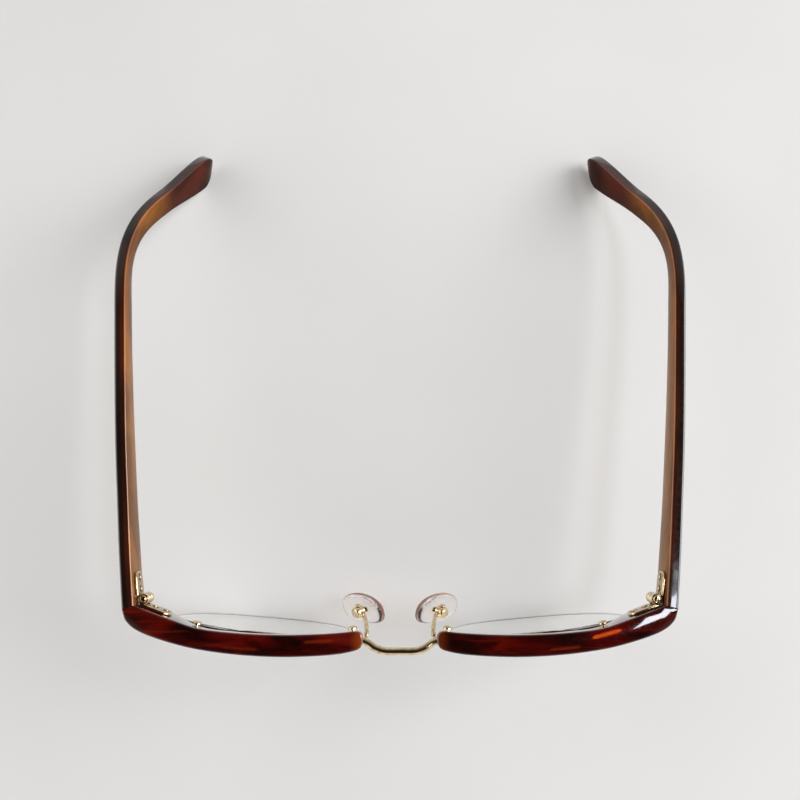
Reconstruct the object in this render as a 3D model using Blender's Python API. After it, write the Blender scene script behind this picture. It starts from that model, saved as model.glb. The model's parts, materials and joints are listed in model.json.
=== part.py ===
"""Half rim eyeglasses: acetate brow bars and temples on a metal upper rim, with nylon-held lenses.

Frame: +Z up, the front faces -Y and the temples run back to +Y, symmetric about X = 0.
The wearer's right is -X. The glasses stand on the lens bottoms and on the temple tips.
Every length is in millimetres until new_object() turns it into metres.
"""
from math import acos, atan2, cos, pi, radians, sin, sqrt, tan

import bmesh
import bpy
from mathutils import Matrix, Vector

MM = 0.001
SIDES = (("right", -1.0), ("left", 1.0))

# Brow bar, left side, seen from above: x outwards, y back from the foremost point of the front.
BROW_FRONT = [(9.25, 3.2), (9.9, 1.95), (11.8, 1.15), (17.0, 0.4), (28.5, 0.0), (40.0, 0.65),
              (50.0, 2.0), (58.0, 4.0), (64.4, 6.3), (67.6, 8.8), (68.6, 11.8)]
BROW_REAR = [(9.2, 4.6), (9.6, 5.6), (11.0, 6.1), (13.5, 5.85), (19.0, 5.55), (28.5, 5.35),
             (39.5, 5.85), (49.5, 7.0), (57.3, 9.5)]
END_PIECE_CORNER = (65.5, 12.5)
BROW_TOP = [(9.0, 36.7), (22.0, 37.9), (42.0, 38.8), (58.0, 39.0), (69.0, 38.6)]
BROW_EDGE_RADIUS = 0.5
MITRE_EDGE_RADIUS = 0.2
END_PIECE_BOTTOM = 28.9

# Lens outline seen from the front (x, z), from the nasal top corner over the top and round.
LENS_OUTLINE = [(12.3, 28.4), (18.0, 29.6), (28.0, 30.2), (40.0, 30.4), (51.0, 29.8), (57.4, 27.9),
                (59.3, 23.4), (58.2, 16.3), (54.4, 9.0), (47.8, 3.4), (39.5, 0.6), (31.0, 0.1),
                (24.0, 1.7), (18.2, 5.2), (14.3, 10.6), (12.0, 16.8), (11.0, 23.6)]
LENS_TOP_POINTS = 5
LENS_STEPS = 3
LENS_THICKNESS = 1.8
LENS_CURVE = (18.0, 18.0, 2.6, 340.0)
GROOVE_WIDTH = 0.72
GROOVE_DEPTH = 0.75
CORD_RADIUS = 0.28
CORD_INSET = 0.38

# Upper rim: a channel that the lens top sits in, with two lugs that reach up inside the brow bar.
RIM_WIDTH = 2.6
RIM_SLOT = 1.9
RIM_LIP = 0.5
RIM_WEB = 0.95
RIM_GAP = 0.06
RIM_TO_BROW = 0.2
INNER_LUG = ((10.7, 2.9, 28.9), (13.2, 4.6, 34.2))
OUTER_LUG = ((49.7, 4.7, 30.1), (52.3, 6.2, 34.2))
INNER_SLOT = ((8.0, 2.1, 26.0), (13.4, 4.75, 34.5))
OUTER_SLOT = ((49.5, 4.55, 26.0), (52.5, 6.35, 34.5))
INNER_SCREW = (11.9, 32.9)
OUTER_SCREW = (51.0, 33.3)
SCREW_HEAD_RADIUS = 1.15
SCREW_RADIUS = 0.5
SCREW_CLEARANCE = 0.06
HEAD_GAP = 0.1

# Bridge and nose pads.
BRIDGE_PATH = [(0.0, 0.8, 33.3), (3.8, 0.85, 33.3), (6.3, 1.6, 33.1), (8.2, 2.8, 32.8),
               (10.2, 3.5, 32.6)]
BRIDGE_SECTION = (2.0, 2.2)
BRIDGE_EDGE = 0.85
PAD_CENTRE = (9.8, 10.0, 18.8)
PAD_FRONTAL_ANGLE = radians(43.0)
PAD_SPLAY = radians(20.0)
PAD_HALF_LENGTH = 8.2
PAD_HALF_WIDTH = 4.2
PAD_THICKNESS = 2.0
PAD_PIVOT_UP = 0.8
PAD_PIVOT_BACK = 2.35
PAD_RECESS = (2.1, 1.0, 0.5)
INSERT_WIDTH = 1.2
BOX_GAP = 0.12
BOX_CHEEK = 0.55
BOX_HALF_LENGTH = 1.15
BOX_BACK = (0.95, 1.6)
PAD_SCREW_RADIUS = 0.35
ARM_RADIUS = 0.55
ARM_START = [(8.4, 4.4, 32.3), (8.45, 5.9, 31.1), (8.75, 7.3, 28.3), (9.1, 8.1, 25.4)]
ARM_ON_BOX = (3.2, -0.6)

# Hinge: two leaves with interleaved knuckles on an upright axis.
HINGE_AXIS = (63.9, 13.9)
HINGE_MID = 33.9
BARREL_RADIUS = 1.4
KNUCKLE_HEIGHT = 1.0
KNUCKLE_GAP = 0.08
LEAF_THICKNESS = 0.7
LEAF_SEAT_GAP = 0.05
LEAF_NECK = 0.85
HINGE_SCREW_RADIUS = 0.5
RIVET_RADIUS = 0.42
RIVET_HEAD_RADIUS = 0.6
RIVET_DEPTH = 1.0
FRONT_LEAF_LENGTH = 7.6
FRONT_RIVETS = (3.0, 6.0)
TEMPLE_LEAF_LENGTH = 6.9
TEMPLE_RIVETS = (2.5, 5.4)

# Temple: straight, then bent down and in over the ear.
TEMPLE_START = (67.1, 12.2, 33.9)
TEMPLE_THICKNESS = 3.2
TEMPLE_SPLAY = (radians(7.1), radians(3.5))
TEMPLE_DROP = radians(4.48)
TEMPLE_STRAIGHT = 80.5
TEMPLE_BEND = 35.5
TEMPLE_TIP = 24.0
TEMPLE_BEND_DOWN = radians(34.1)
TEMPLE_BEND_IN = radians(29.9)
TEMPLE_HEIGHT = [(0.0, 9.5), (8.0, 9.3), (30.0, 8.2), (78.0, 6.2), (93.0, 5.0), (116.0, 6.5), (134.0, 9.4)]
TEMPLE_STATIONS = 26
TEMPLE_EDGE = 0.55
TIP_ROUND = 5.5
TIP_LEAN = 0.3
CORE_SECTION = (0.9, 2.0)
CORE_CLEARANCE = 0.1
CORE_OFFSET = 0.35
CORE_LENGTH = 74.0
CORE_END = 3.0

ROUND_SIDES = 14

COLOURS = {
    "brow_acetate": ((0.10, 0.012, 0.008), 0.12, 0.0),
    "temple_acetate": ((0.09, 0.028, 0.015), 0.15, 0.0),
    "gold_metal": ((0.72, 0.56, 0.34), 0.22, 1.0),
    "core_steel": ((0.62, 0.58, 0.50), 0.30, 1.0),
    "lens": ((0.90, 0.94, 0.95), 0.03, 0.0),
    "nylon": ((0.80, 0.80, 0.80), 0.35, 0.0),
    "pad_silicone": ((0.72, 0.58, 0.52), 0.25, 0.0),
}


# ---------------------------------------------------------------------------
# Building helpers
# ---------------------------------------------------------------------------
def clear_scene():
    for obj in list(bpy.data.objects):
        bpy.data.objects.remove(obj, do_unlink=True)


def material(name):
    """One Principled material for each name in COLOURS, made on first use."""
    if name in bpy.data.materials:
        return bpy.data.materials[name]
    colour, roughness, metallic = COLOURS[name]
    mat = bpy.data.materials.new(name)
    mat.use_nodes = True
    shader = mat.node_tree.nodes["Principled BSDF"]
    shader.inputs["Base Color"].default_value = (*colour, 1.0)
    shader.inputs["Roughness"].default_value = roughness
    shader.inputs["Metallic"].default_value = metallic
    mat.diffuse_color = (*colour, 1.0)
    return mat


def new_object(name, verts, faces, mat=None, pivot=None, side=1.0):
    """A closed mesh object in metres; side -1 mirrors the millimetre points to the wearer's right.

    With a pivot, the object is parented to that empty and its points are kept relative to it."""
    mesh = bpy.data.meshes.new(name)
    origin = pivot.location if pivot else Vector((0.0, 0.0, 0.0))
    points = [Vector((v[0] * side, v[1], v[2])) * MM - origin for v in verts]
    mesh.from_pydata(points, [], faces)
    bm = bmesh.new()
    bm.from_mesh(mesh)
    bmesh.ops.recalc_face_normals(bm, faces=bm.faces)
    bm.to_mesh(mesh)
    bm.free()
    mesh.shade_smooth()
    mesh.set_sharp_from_angle(angle=radians(35.0))
    obj = bpy.data.objects.new(name, mesh)
    bpy.context.collection.objects.link(obj)
    if mat:
        mesh.materials.append(material(mat))
    if pivot:
        obj.parent = pivot
    return obj


def new_pivot(name, position, side):
    empty = bpy.data.objects.new(name, None)
    empty.location = Vector((position[0] * side, position[1], position[2])) * MM
    bpy.context.collection.objects.link(empty)
    return empty


def boolean(obj, cutter, operation="DIFFERENCE"):
    """Joins or cuts obj with cutter, which is then kept as a hidden guide."""
    modifier = obj.modifiers.new(cutter.name, "BOOLEAN")
    modifier.operation = operation
    modifier.solver = "EXACT"
    modifier.object = cutter
    cutter.hide_render = True
    cutter.display_type = "WIRE"
    cutter.parent = obj.parent


def spline(points, steps, closed=False):
    """Catmull-Rom curve through the points, with the given steps on each span."""
    points = [Vector(p) for p in points]
    count = len(points)
    if closed:
        around = [points[i % count] for i in range(-1, count + 2)]
        spans = count
    else:
        around = [2 * points[0] - points[1]] + points + [2 * points[-1] - points[-2]]
        spans = count - 1
    curve = []
    for span in range(spans):
        a, b, c, d = around[span:span + 4]
        for step in range(steps):
            t = step / steps
            curve.append(0.5 * (2 * b + (c - a) * t + (2 * a - 5 * b + 4 * c - d) * t * t
                                + (3 * b - a - 3 * c + d) * t ** 3))
    if not closed:
        curve.append(points[-1])
    return curve


def straight_at(table, x, ease=lambda t: t):
    """Height at x between the (x, height) rows of a table."""
    if x <= table[0][0]:
        return table[0][1]
    for (x0, h0), (x1, h1) in zip(table, table[1:]):
        if x <= x1:
            return h0 + (h1 - h0) * ease((x - x0) / (x1 - x0))
    return table[-1][1]


def smooth_at(table, x):
    """The same with level ground at every row, so that the rows meet without a corner."""
    return straight_at(table, x, lambda t: t * t * (3.0 - 2.0 * t))


def resample(curve, count):
    """The curve as count points at equal distances along it."""
    lengths = [0.0]
    for a, b in zip(curve, curve[1:]):
        lengths.append(lengths[-1] + (b - a).length)
    result = []
    span = 0
    for k in range(count):
        goal = lengths[-1] * k / (count - 1)
        while span < len(curve) - 2 and lengths[span + 1] < goal:
            span += 1
        t = (goal - lengths[span]) / (lengths[span + 1] - lengths[span])
        result.append(curve[span].lerp(curve[span + 1], t))
    return result


def bands(first, second, count):
    """Quads between two rings of count points that start at the vertex numbers given."""
    return [(first + k, first + (k + 1) % count, second + (k + 1) % count, second + k)
            for k in range(count)]


def loft(rings):
    """Vertices and faces of a skin over closed rings, with a flat cap on each end."""
    count = len(rings[0])
    verts = [p for ring in rings for p in ring]
    faces = [quad for k in range(len(rings) - 1) for quad in bands(k * count, (k + 1) * count, count)]
    last = (len(rings) - 1) * count
    faces.append(tuple(range(count)))
    faces.append(tuple(range(last, last + count)))
    return verts, faces


def merged(parts):
    """Several (verts, faces) pairs as one."""
    verts, faces = [], []
    for part_verts, part_faces in parts:
        shift = len(verts)
        verts.extend(part_verts)
        faces.extend(tuple(i + shift for i in face) for face in part_faces)
    return verts, faces


def box(corners):
    (x0, y0, z0), (x1, y1, z1) = corners
    rings = [[Vector((x, y, z)) for x, y in ((x0, y0), (x1, y0), (x1, y1), (x0, y1))] for z in (z0, z1)]
    return loft(rings)


def turned(start, axis, profile, sides=ROUND_SIDES):
    """A solid of revolution: profile is (distance along axis from start, radius) rows."""
    axis = Vector(axis).normalized()
    across = axis.orthogonal().normalized()
    other = axis.cross(across)
    rings = []
    for along, radius in profile:
        centre = Vector(start) + axis * along
        rings.append([centre + (across * cos(2 * pi * k / sides) + other * sin(2 * pi * k / sides)) * radius
                      for k in range(sides)])
    return loft(rings)


def cylinder(start, end, radius, sides=ROUND_SIDES):
    axis = Vector(end) - Vector(start)
    return turned(start, axis, [(0.0, radius), (axis.length, radius)], sides)


def tube(path, radius, sides=8):
    """A round wire along the path, with flat ends."""
    rings = []
    tangent = (path[1] - path[0]).normalized()
    across = tangent.orthogonal().normalized()
    for k, point in enumerate(path):
        ahead = path[min(k + 1, len(path) - 1)] - path[max(k - 1, 0)]
        tangent = ahead.normalized()
        across = (across - tangent * across.dot(tangent)).normalized()
        other = tangent.cross(across)
        rings.append([point + (across * cos(2 * pi * i / sides) + other * sin(2 * pi * i / sides)) * radius
                      for i in range(sides)])
    verts, faces = loft(rings)
    return verts, split_quads(faces)


def split_quads(faces):
    """The same faces with every quad, which may be twisted, as two triangles."""
    quads = [face for face in faces if len(face) == 4]
    others = [face for face in faces if len(face) != 4]
    return [half for a, b, c, d in quads for half in ((a, b, c), (a, c, d))] + others


def bevelled_rectangle(half_width, half_height, edge):
    """Twelve (across, up) points of a rectangle whose four corners are cut back by edge."""
    points = []
    for corner in range(4):
        turn = corner * pi / 2
        centre = (half_width - edge, half_height - edge)
        sign = ((1, 1), (-1, 1), (-1, -1), (1, -1))[corner]
        for part in (0.0, 0.5, 1.0):
            angle = turn + part * pi / 2
            points.append((sign[0] * centre[0] + edge * cos(angle), sign[1] * centre[1] + edge * sin(angle)))
    return points


def slotted(obj, head_top, axis, radius, side, pivot=None):
    """Cuts a screwdriver slot across the head whose top centre and outward axis are given."""
    axis = Vector(axis).normalized()
    across = axis.orthogonal().normalized()
    other = axis.cross(across)
    rings = []
    for depth in (-0.35, 0.4):
        centre = Vector(head_top) + axis * depth
        rings.append([centre + across * a * radius * 1.3 + other * b * 0.17
                      for a, b in ((-1, -1), (1, -1), (1, 1), (-1, 1))])
    cutter = new_object(obj.name + "_slot", *loft(rings), side=side, pivot=pivot)
    boolean(obj, cutter)


# ---------------------------------------------------------------------------
# Brow bar
# ---------------------------------------------------------------------------
def underside():
    """(x, z) rows of the brow bar's underside: just over the upper rim, then down to the end-piece."""
    curve, outward = lens_edge()
    last = LENS_TOP_POINTS * LENS_STEPS
    rows = [(p.x + o.x * RIM_WEB, p.y + o.y * RIM_WEB + RIM_TO_BROW)
            for p, o in zip(curve[:last], outward[:last])]
    return rows + [(60.0, END_PIECE_BOTTOM), (70.0, END_PIECE_BOTTOM)]


def brow_plan():
    """Front and rear edges as two lists of equal length, with the edge radius at each rear point."""
    smooth, straight, mitre = 21, 5, 2
    rear = resample(spline(BROW_REAR, 6), smooth)
    corner = Vector(END_PIECE_CORNER)
    outer = Vector(BROW_FRONT[-1])
    rear += [rear[-1].lerp(corner, k / straight) for k in range(1, straight + 1)]
    rear += [corner.lerp(outer, (k - 0.35) / mitre) for k in range(1, mitre + 1)]
    front = resample(spline(BROW_FRONT, 6), len(rear))
    radii = [BROW_EDGE_RADIUS] * (smooth + straight - 1) + [MITRE_EDGE_RADIUS] * (mitre + 1)
    return front, rear, radii


def brow_bar(name, side):
    front, rear, rear_radii = brow_plan()
    count = len(front)
    outline = front + rear[::-1]
    bottom = underside()
    radii = [BROW_EDGE_RADIUS] * (count - 1) + [MITRE_EDGE_RADIUS] + rear_radii[::-1]
    total = len(outline)
    inward = []
    for k, point in enumerate(outline):
        along = (outline[(k + 1) % total] - outline[k - 1]).normalized()
        inward.append(Vector((-along.y, along.x)))
    rings = []
    for level, up in ((0, False), (1, False), (2, False), (2, True), (1, True), (0, True)):
        ring = []
        for point, normal, radius in zip(outline, inward, radii):
            angle = level * pi / 4
            moved = point + normal * radius * (1.0 - sin(angle))
            rise = radius * (1.0 - cos(angle))
            z = smooth_at(BROW_TOP, point.x) - rise if up else straight_at(bottom, point.x) + rise
            ring.append(Vector((moved.x, moved.y, z)))
        rings.append(ring)
    verts = [p for ring in rings for p in ring]
    faces = [quad for k in range(5) for quad in bands(k * total, (k + 1) * total, total)]
    for start in (0, 5 * total):
        faces += [(start + k, start + k + 1, start + total - 2 - k, start + total - 1 - k)
                  for k in range(count - 1)]
    obj = new_object(name, verts, faces, "brow_acetate", side=side)
    slots = new_object(name + "_slots", *merged([box(INNER_SLOT), box(OUTER_SLOT)]), side=side)
    boolean(obj, slots)
    holes = [cylinder(seat - normal * 2.6, seat + normal * 1.5, SCREW_RADIUS + SCREW_CLEARANCE, 12)
             for seat, normal in (brow_screw_seat(INNER_SCREW), brow_screw_seat(OUTER_SCREW))]
    holes += [cylinder(at - out * (RIVET_DEPTH + 0.1), at + out, RIVET_RADIUS + 0.08, 10)
              for at, out in front_rivet_seats()]
    boolean(obj, new_object(name + "_holes", *merged(holes), side=side))


def brow_screw_seat(place):
    """Point on the brow bar's rear face at (x, z), and the face's outward direction there."""
    x, z = place
    curve = spline(BROW_REAR, 12)
    for a, b in zip(curve, curve[1:]):
        if a.x <= x <= b.x:
            point = a.lerp(b, (x - a.x) / (b.x - a.x))
            along = (b - a).normalized()
            return Vector((point.x, point.y, z)), Vector((-along.y, along.x, 0.0))
    raise ValueError("the screw is beyond the rear face")


def round_head_screw(name, seat, axis, radius, head_radius, head_height, length, side, pivot=None):
    """A domed slotted screw: its head stands on the seat and the shank runs back from it."""
    profile = [(-length, radius), (HEAD_GAP, radius), (HEAD_GAP, head_radius)]
    profile += [(HEAD_GAP + head_height * 0.35, head_radius)]
    profile += [(HEAD_GAP + head_height * (0.35 + 0.65 * sin(a)), head_radius * cos(a))
                for a in (radians(25), radians(50), radians(72))]
    obj = new_object(name, *turned(seat, axis, profile), "gold_metal", side=side, pivot=pivot)
    slotted(obj, Vector(seat) + Vector(axis).normalized() * (HEAD_GAP + head_height), axis, head_radius,
            side, pivot)


# ---------------------------------------------------------------------------
# Lens, its cord and the upper rim
# ---------------------------------------------------------------------------
def lens_y(x, z):
    """Mid-surface of the lens: a shallow bowl that wraps back towards the temple."""
    x0, z0, y0, spread = LENS_CURVE
    return y0 + ((x - x0) ** 2 + (z - z0) ** 2) / spread


def lens_edge():
    """Outline points (x, z) and their outward directions."""
    curve = spline(LENS_OUTLINE, LENS_STEPS, closed=True)
    total = len(curve)
    outward = []
    for k in range(total):
        along = (curve[(k + 1) % total] - curve[k - 1]).normalized()
        outward.append(Vector((-along.y, along.x)))
    return curve, outward


def on_lens(point, outward, out, back):
    """World point a distance outside the outline and a distance behind the mid-surface."""
    x = point.x + outward.x * out
    z = point.y + outward.y * out
    return Vector((x, lens_y(x, z) + back, z))


def lens(name, side):
    curve, outward = lens_edge()
    total = len(curve)
    half, groove = LENS_THICKNESS / 2, GROOVE_WIDTH / 2
    middle = sum(curve, Vector((0.0, 0.0))) / total
    rings = []
    for scale in (0.3, 0.62, 0.88):
        flat = [middle + (p - middle) * scale for p in curve]
        rings.append([on_lens(p, o, 0.0, -half) for p, o in zip(flat, outward)])
    profile = [(-0.15, -half), (0.0, -half + 0.15), (0.0, -groove), (-GROOVE_DEPTH, -groove)]
    profile += [(out, -back) for out, back in reversed(profile)]
    for out, back in profile:
        rings.append([on_lens(p, o, out, back) for p, o in zip(curve, outward)])
    for scale in (0.88, 0.62, 0.3):
        flat = [middle + (p - middle) * scale for p in curve]
        rings.append([on_lens(p, o, 0.0, half) for p, o in zip(flat, outward)])
    verts = [p for ring in rings for p in ring]
    faces = [quad for k in range(len(rings) - 1) for quad in bands(k * total, (k + 1) * total, total)]
    for ring, back in ((0, -half), (len(rings) - 1, half)):
        verts.append(Vector((middle.x, lens_y(middle.x, middle.y) + back, middle.y)))
        faces += [(ring * total + k, ring * total + (k + 1) % total, len(verts) - 1) for k in range(total)]
    new_object(name, verts, faces, "lens", side=side)


def lens_cord(name, side):
    """Nylon line in the groove, from one end of the upper rim round the bottom to the other."""
    curve, outward = lens_edge()
    first = LENS_TOP_POINTS * LENS_STEPS + 1
    path = [on_lens(p, o, -CORD_INSET, 0.0) for p, o in zip(curve[first:-1], outward[first:-1])]
    new_object(name, *tube(path, CORD_RADIUS, 6), "nylon", side=side)


def rim_bar(name, side):
    curve, outward = lens_edge()
    half, slot = RIM_WIDTH / 2, RIM_SLOT / 2
    section = [(-RIM_LIP, -half), (RIM_WEB, -half), (RIM_WEB, half), (-RIM_LIP, half),
               (-RIM_LIP, slot), (RIM_GAP, slot), (RIM_GAP, -slot), (-RIM_LIP, -slot)]
    last = LENS_TOP_POINTS * LENS_STEPS
    rings = [[on_lens(p, o, out, back) for out, back in section]
             for p, o in zip(curve[:last], outward[:last])]
    obj = new_object(name, *loft(rings), "gold_metal", side=side)
    lugs = new_object(name + "_lugs", *merged([box(INNER_LUG), box(OUTER_LUG)]), side=side)
    boolean(obj, lugs, "UNION")
    holes = [cylinder(seat - normal * 4.2, seat, SCREW_RADIUS + SCREW_CLEARANCE, 12)
             for seat, normal in (brow_screw_seat(INNER_SCREW), brow_screw_seat(OUTER_SCREW))]
    boolean(obj, new_object(name + "_holes", *merged(holes), side=side))


# ---------------------------------------------------------------------------
# Bridge and nose pads
# ---------------------------------------------------------------------------
def bridge(name):
    half = spline(BRIDGE_PATH, 3)
    path = [Vector((-p.x, p.y, p.z)) for p in reversed(half[1:])] + half
    section = bevelled_rectangle(BRIDGE_SECTION[0] / 2, BRIDGE_SECTION[1] / 2, BRIDGE_EDGE)
    rings = []
    for k, point in enumerate(path):
        tangent = (path[min(k + 1, len(path) - 1)] - path[max(k - 1, 0)]).normalized()
        across = Vector((0.0, 0.0, 1.0)).cross(tangent).normalized()
        up = tangent.cross(across)
        rings.append([point + across * a + up * b for a, b in section])
    new_object(name, *loft(rings), "gold_metal")


def pad_frame():
    """Directions of the left pad: up its length, back from the nose, and across its width."""
    up = Vector((-sin(PAD_FRONTAL_ANGLE), 0.0, cos(PAD_FRONTAL_ANGLE)))
    level_back = Vector((cos(PAD_FRONTAL_ANGLE), 0.0, sin(PAD_FRONTAL_ANGLE)))
    back = level_back * cos(PAD_SPLAY) - Vector((0.0, sin(PAD_SPLAY), 0.0))
    return up, back, up.cross(back)


def pad_point(along, back, across):
    """World point from the pad's own lengthwise, backward and crosswise distances."""
    up_dir, back_dir, across_dir = pad_frame()
    return Vector(PAD_CENTRE) + up_dir * along + back_dir * back + across_dir * across


def nose_pad(name, side, pivot):
    """An oval cushion, domed towards the nose, with a recess in its back for the insert."""
    sides = 28
    half = PAD_THICKNESS / 2
    recess_length, recess_width, recess_depth = PAD_RECESS
    rows = [(0.45, -half), (0.8, -half * 0.72), (0.96, -half * 0.3), (1.0, 0.15), (0.93, half * 0.8),
            (0.8, half)]
    rings = [[pad_point(PAD_HALF_LENGTH * s * cos(2 * pi * k / sides), b,
                        PAD_HALF_WIDTH * s * sin(2 * pi * k / sides)) for k in range(sides)]
             for s, b in rows]
    for b in (half, half - recess_depth):
        rings.append([pad_point(PAD_PIVOT_UP + recess_length * cos(2 * pi * k / sides), b,
                                recess_width * sin(2 * pi * k / sides)) for k in range(sides)])
    new_object(name, *loft(rings), "pad_silicone", side=side, pivot=pivot)


def extruded_across(outline, low, high):
    """A prism across the pad: outline holds (along, back) points in the pad's own frame."""
    return loft([[pad_point(a, b, w) for a, b in outline] for w in (low, high)])


def pad_insert(name, side, pivot):
    """A metal tee: its foot lies in the pad's recess and its lug hangs on the pad screw."""
    foot = PAD_THICKNESS / 2 - PAD_RECESS[2] + 0.06
    top, lug = foot + 0.4, 0.7
    axis = PAD_PIVOT_BACK
    outline = [(-1.5, foot), (1.5, foot), (1.5, top), (lug, top)]
    outline += [(lug * cos(a), axis + lug * sin(a)) for a in (k * pi / 8 for k in range(9))]
    outline += [(-lug, top), (-1.5, top)]
    outline = [(a + PAD_PIVOT_UP, b) for a, b in outline]
    half = INSERT_WIDTH / 2
    obj = new_object(name, *extruded_across(outline, -half, half), "gold_metal", side=side, pivot=pivot)
    bore = cylinder(pad_point(PAD_PIVOT_UP, axis, -2), pad_point(PAD_PIVOT_UP, axis, 2),
                    PAD_SCREW_RADIUS + 0.05, 12)
    boolean(obj, new_object(name + "_bore", *bore, side=side, pivot=pivot))


def pad_box(name, side):
    """A small fork on the arm's end: two cheeks joined by a back plate."""
    inner = INSERT_WIDTH / 2 + BOX_GAP
    outer = inner + BOX_CHEEK
    low, (inside, outside) = PAD_PIVOT_BACK - 0.75, (PAD_PIVOT_BACK + b for b in BOX_BACK)
    outline = [(-outer, low), (-inner, low), (-inner, inside), (inner, inside), (inner, low),
               (outer, low), (outer, outside), (-outer, outside)]
    rings = [[pad_point(PAD_PIVOT_UP + a, b, w) for w, b in outline]
             for a in (-BOX_HALF_LENGTH, BOX_HALF_LENGTH)]
    obj = new_object(name, *loft(rings), "gold_metal", side=side)
    bore = cylinder(pad_point(PAD_PIVOT_UP, PAD_PIVOT_BACK, -3), pad_point(PAD_PIVOT_UP, PAD_PIVOT_BACK, 3),
                    PAD_SCREW_RADIUS + 0.05, 12)
    boolean(obj, new_object(name + "_bore", *bore, side=side))


def pad_screw(name, side):
    reach = INSERT_WIDTH / 2 + BOX_GAP + BOX_CHEEK
    seat = pad_point(PAD_PIVOT_UP, PAD_PIVOT_BACK, reach)
    _, _, across = pad_frame()
    round_head_screw(name, seat, across, PAD_SCREW_RADIUS, 0.8, 0.5, 2 * reach + 0.2, side)


def pad_arm(name, side):
    """Wire from behind the bridge's end down to the upper end of the pad box."""
    box_end = PAD_PIVOT_UP + BOX_HALF_LENGTH
    path = spline([*ARM_START, pad_point(box_end + 1.5, *ARM_ON_BOX), pad_point(box_end + 0.08, *ARM_ON_BOX)], 4)
    new_object(name, *tube(path, ARM_RADIUS), "gold_metal", side=side)


# ---------------------------------------------------------------------------
# Hinge
# ---------------------------------------------------------------------------
def leaf_frame(leaf):
    """Foot of the axis on the leaf's seat, and the seat's along and outward directions (x, y)."""
    axis = Vector(HINGE_AXIS)
    if leaf == "front":
        corner, start = Vector(END_PIECE_CORNER), Vector(BROW_REAR[-1])
        along = (start - corner).normalized()
        out = Vector((along.y, -along.x))
        point = corner
    else:
        splay = TEMPLE_SPLAY[0]
        along = Vector((sin(splay), cos(splay)))
        out = Vector((-along.y, along.x))
        point = Vector(TEMPLE_START[:2]) + out * TEMPLE_THICKNESS / 2
    height = (axis - point).dot(out)
    return axis - out * height, along, out, height


def leaf_point(leaf, along, out, z):
    foot, along_dir, out_dir, _ = leaf_frame(leaf)
    flat = foot + along_dir * along + out_dir * out
    return Vector((flat.x, flat.y, z))


def leaf_outline(leaf, length, near):
    """Plan of a leaf, (along, out) from the axis: a plate on its seat that grows into a barrel."""
    height = leaf_frame(leaf)[3]
    low, top = LEAF_SEAT_GAP, LEAF_SEAT_GAP + LEAF_THICKNESS
    radius = BARREL_RADIUS
    drop = height - top
    far = sqrt(radius ** 2 - drop ** 2) if drop < radius else LEAF_NECK
    start = -pi + acos(near / radius)
    finish = -2 * pi - acos(far / radius)
    steps = 14
    points = [(length, low), (-near, low)]
    for k in range(steps + 1):
        angle = start + (finish - start) * k / steps
        points.append((radius * cos(angle), height + radius * sin(angle)))
    if drop >= radius:
        points.append((far, top))
    points.append((length, top))
    return points


def hinge_leaf(name, leaf, length, near, rivets, levels, side, pivot=None):
    """levels are the knuckle places, from the bottom, that belong to the other leaf."""
    pitch = KNUCKLE_HEIGHT + KNUCKLE_GAP
    bottom = HINGE_MID - (5 * pitch - KNUCKLE_GAP) / 2
    top = bottom + 5 * pitch - KNUCKLE_GAP
    outline = leaf_outline(leaf, length, near)
    rings = [[leaf_point(leaf, a, b, z) for a, b in outline] for z in (bottom, top)]
    obj = new_object(name, *loft(rings), "gold_metal", side=side, pivot=pivot)
    gaps = []
    for level in levels:
        low = bottom + level * pitch - KNUCKLE_GAP if level else bottom - 1.0
        high = bottom + (level + 1) * pitch if level < 4 else top + 1.0
        gaps.append(cylinder((*HINGE_AXIS, low), (*HINGE_AXIS, high), BARREL_RADIUS + 0.09))
    boolean(obj, new_object(name + "_gaps", *merged(gaps), side=side, pivot=pivot))
    holes = [cylinder((*HINGE_AXIS, bottom - 1.0), (*HINGE_AXIS, top + 1.0), HINGE_SCREW_RADIUS + 0.05, 12)]
    holes += [cylinder(leaf_point(leaf, along, -0.5, HINGE_MID), leaf_point(leaf, along, 1.5, HINGE_MID),
                       RIVET_RADIUS + 0.06, 10) for along in rivets]
    boolean(obj, new_object(name + "_holes", *merged(holes), side=side, pivot=pivot))


def rivet(name, leaf, along, side, pivot=None):
    """A headed pin through the leaf into the acetate."""
    head = LEAF_SEAT_GAP + LEAF_THICKNESS + 0.03
    start = leaf_point(leaf, along, -RIVET_DEPTH, HINGE_MID)
    axis = leaf_point(leaf, along, 1.0, HINGE_MID) - leaf_point(leaf, along, 0.0, HINGE_MID)
    base = RIVET_DEPTH + head
    profile = [(0.0, RIVET_RADIUS), (base, RIVET_RADIUS), (base, RIVET_HEAD_RADIUS),
               (base + 0.12, RIVET_HEAD_RADIUS), (base + 0.25, RIVET_HEAD_RADIUS * 0.75),
               (base + 0.32, RIVET_HEAD_RADIUS * 0.35)]
    new_object(name, *turned(start, axis, profile, 10), "gold_metal", side=side, pivot=pivot)


def front_rivet_seats():
    """Seat point and outward direction of each rivet of the front leaf."""
    _, _, out, _ = leaf_frame("front")
    return [(leaf_point("front", along, 0.0, HINGE_MID), Vector((out.x, out.y, 0.0)))
            for along in FRONT_RIVETS]


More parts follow.
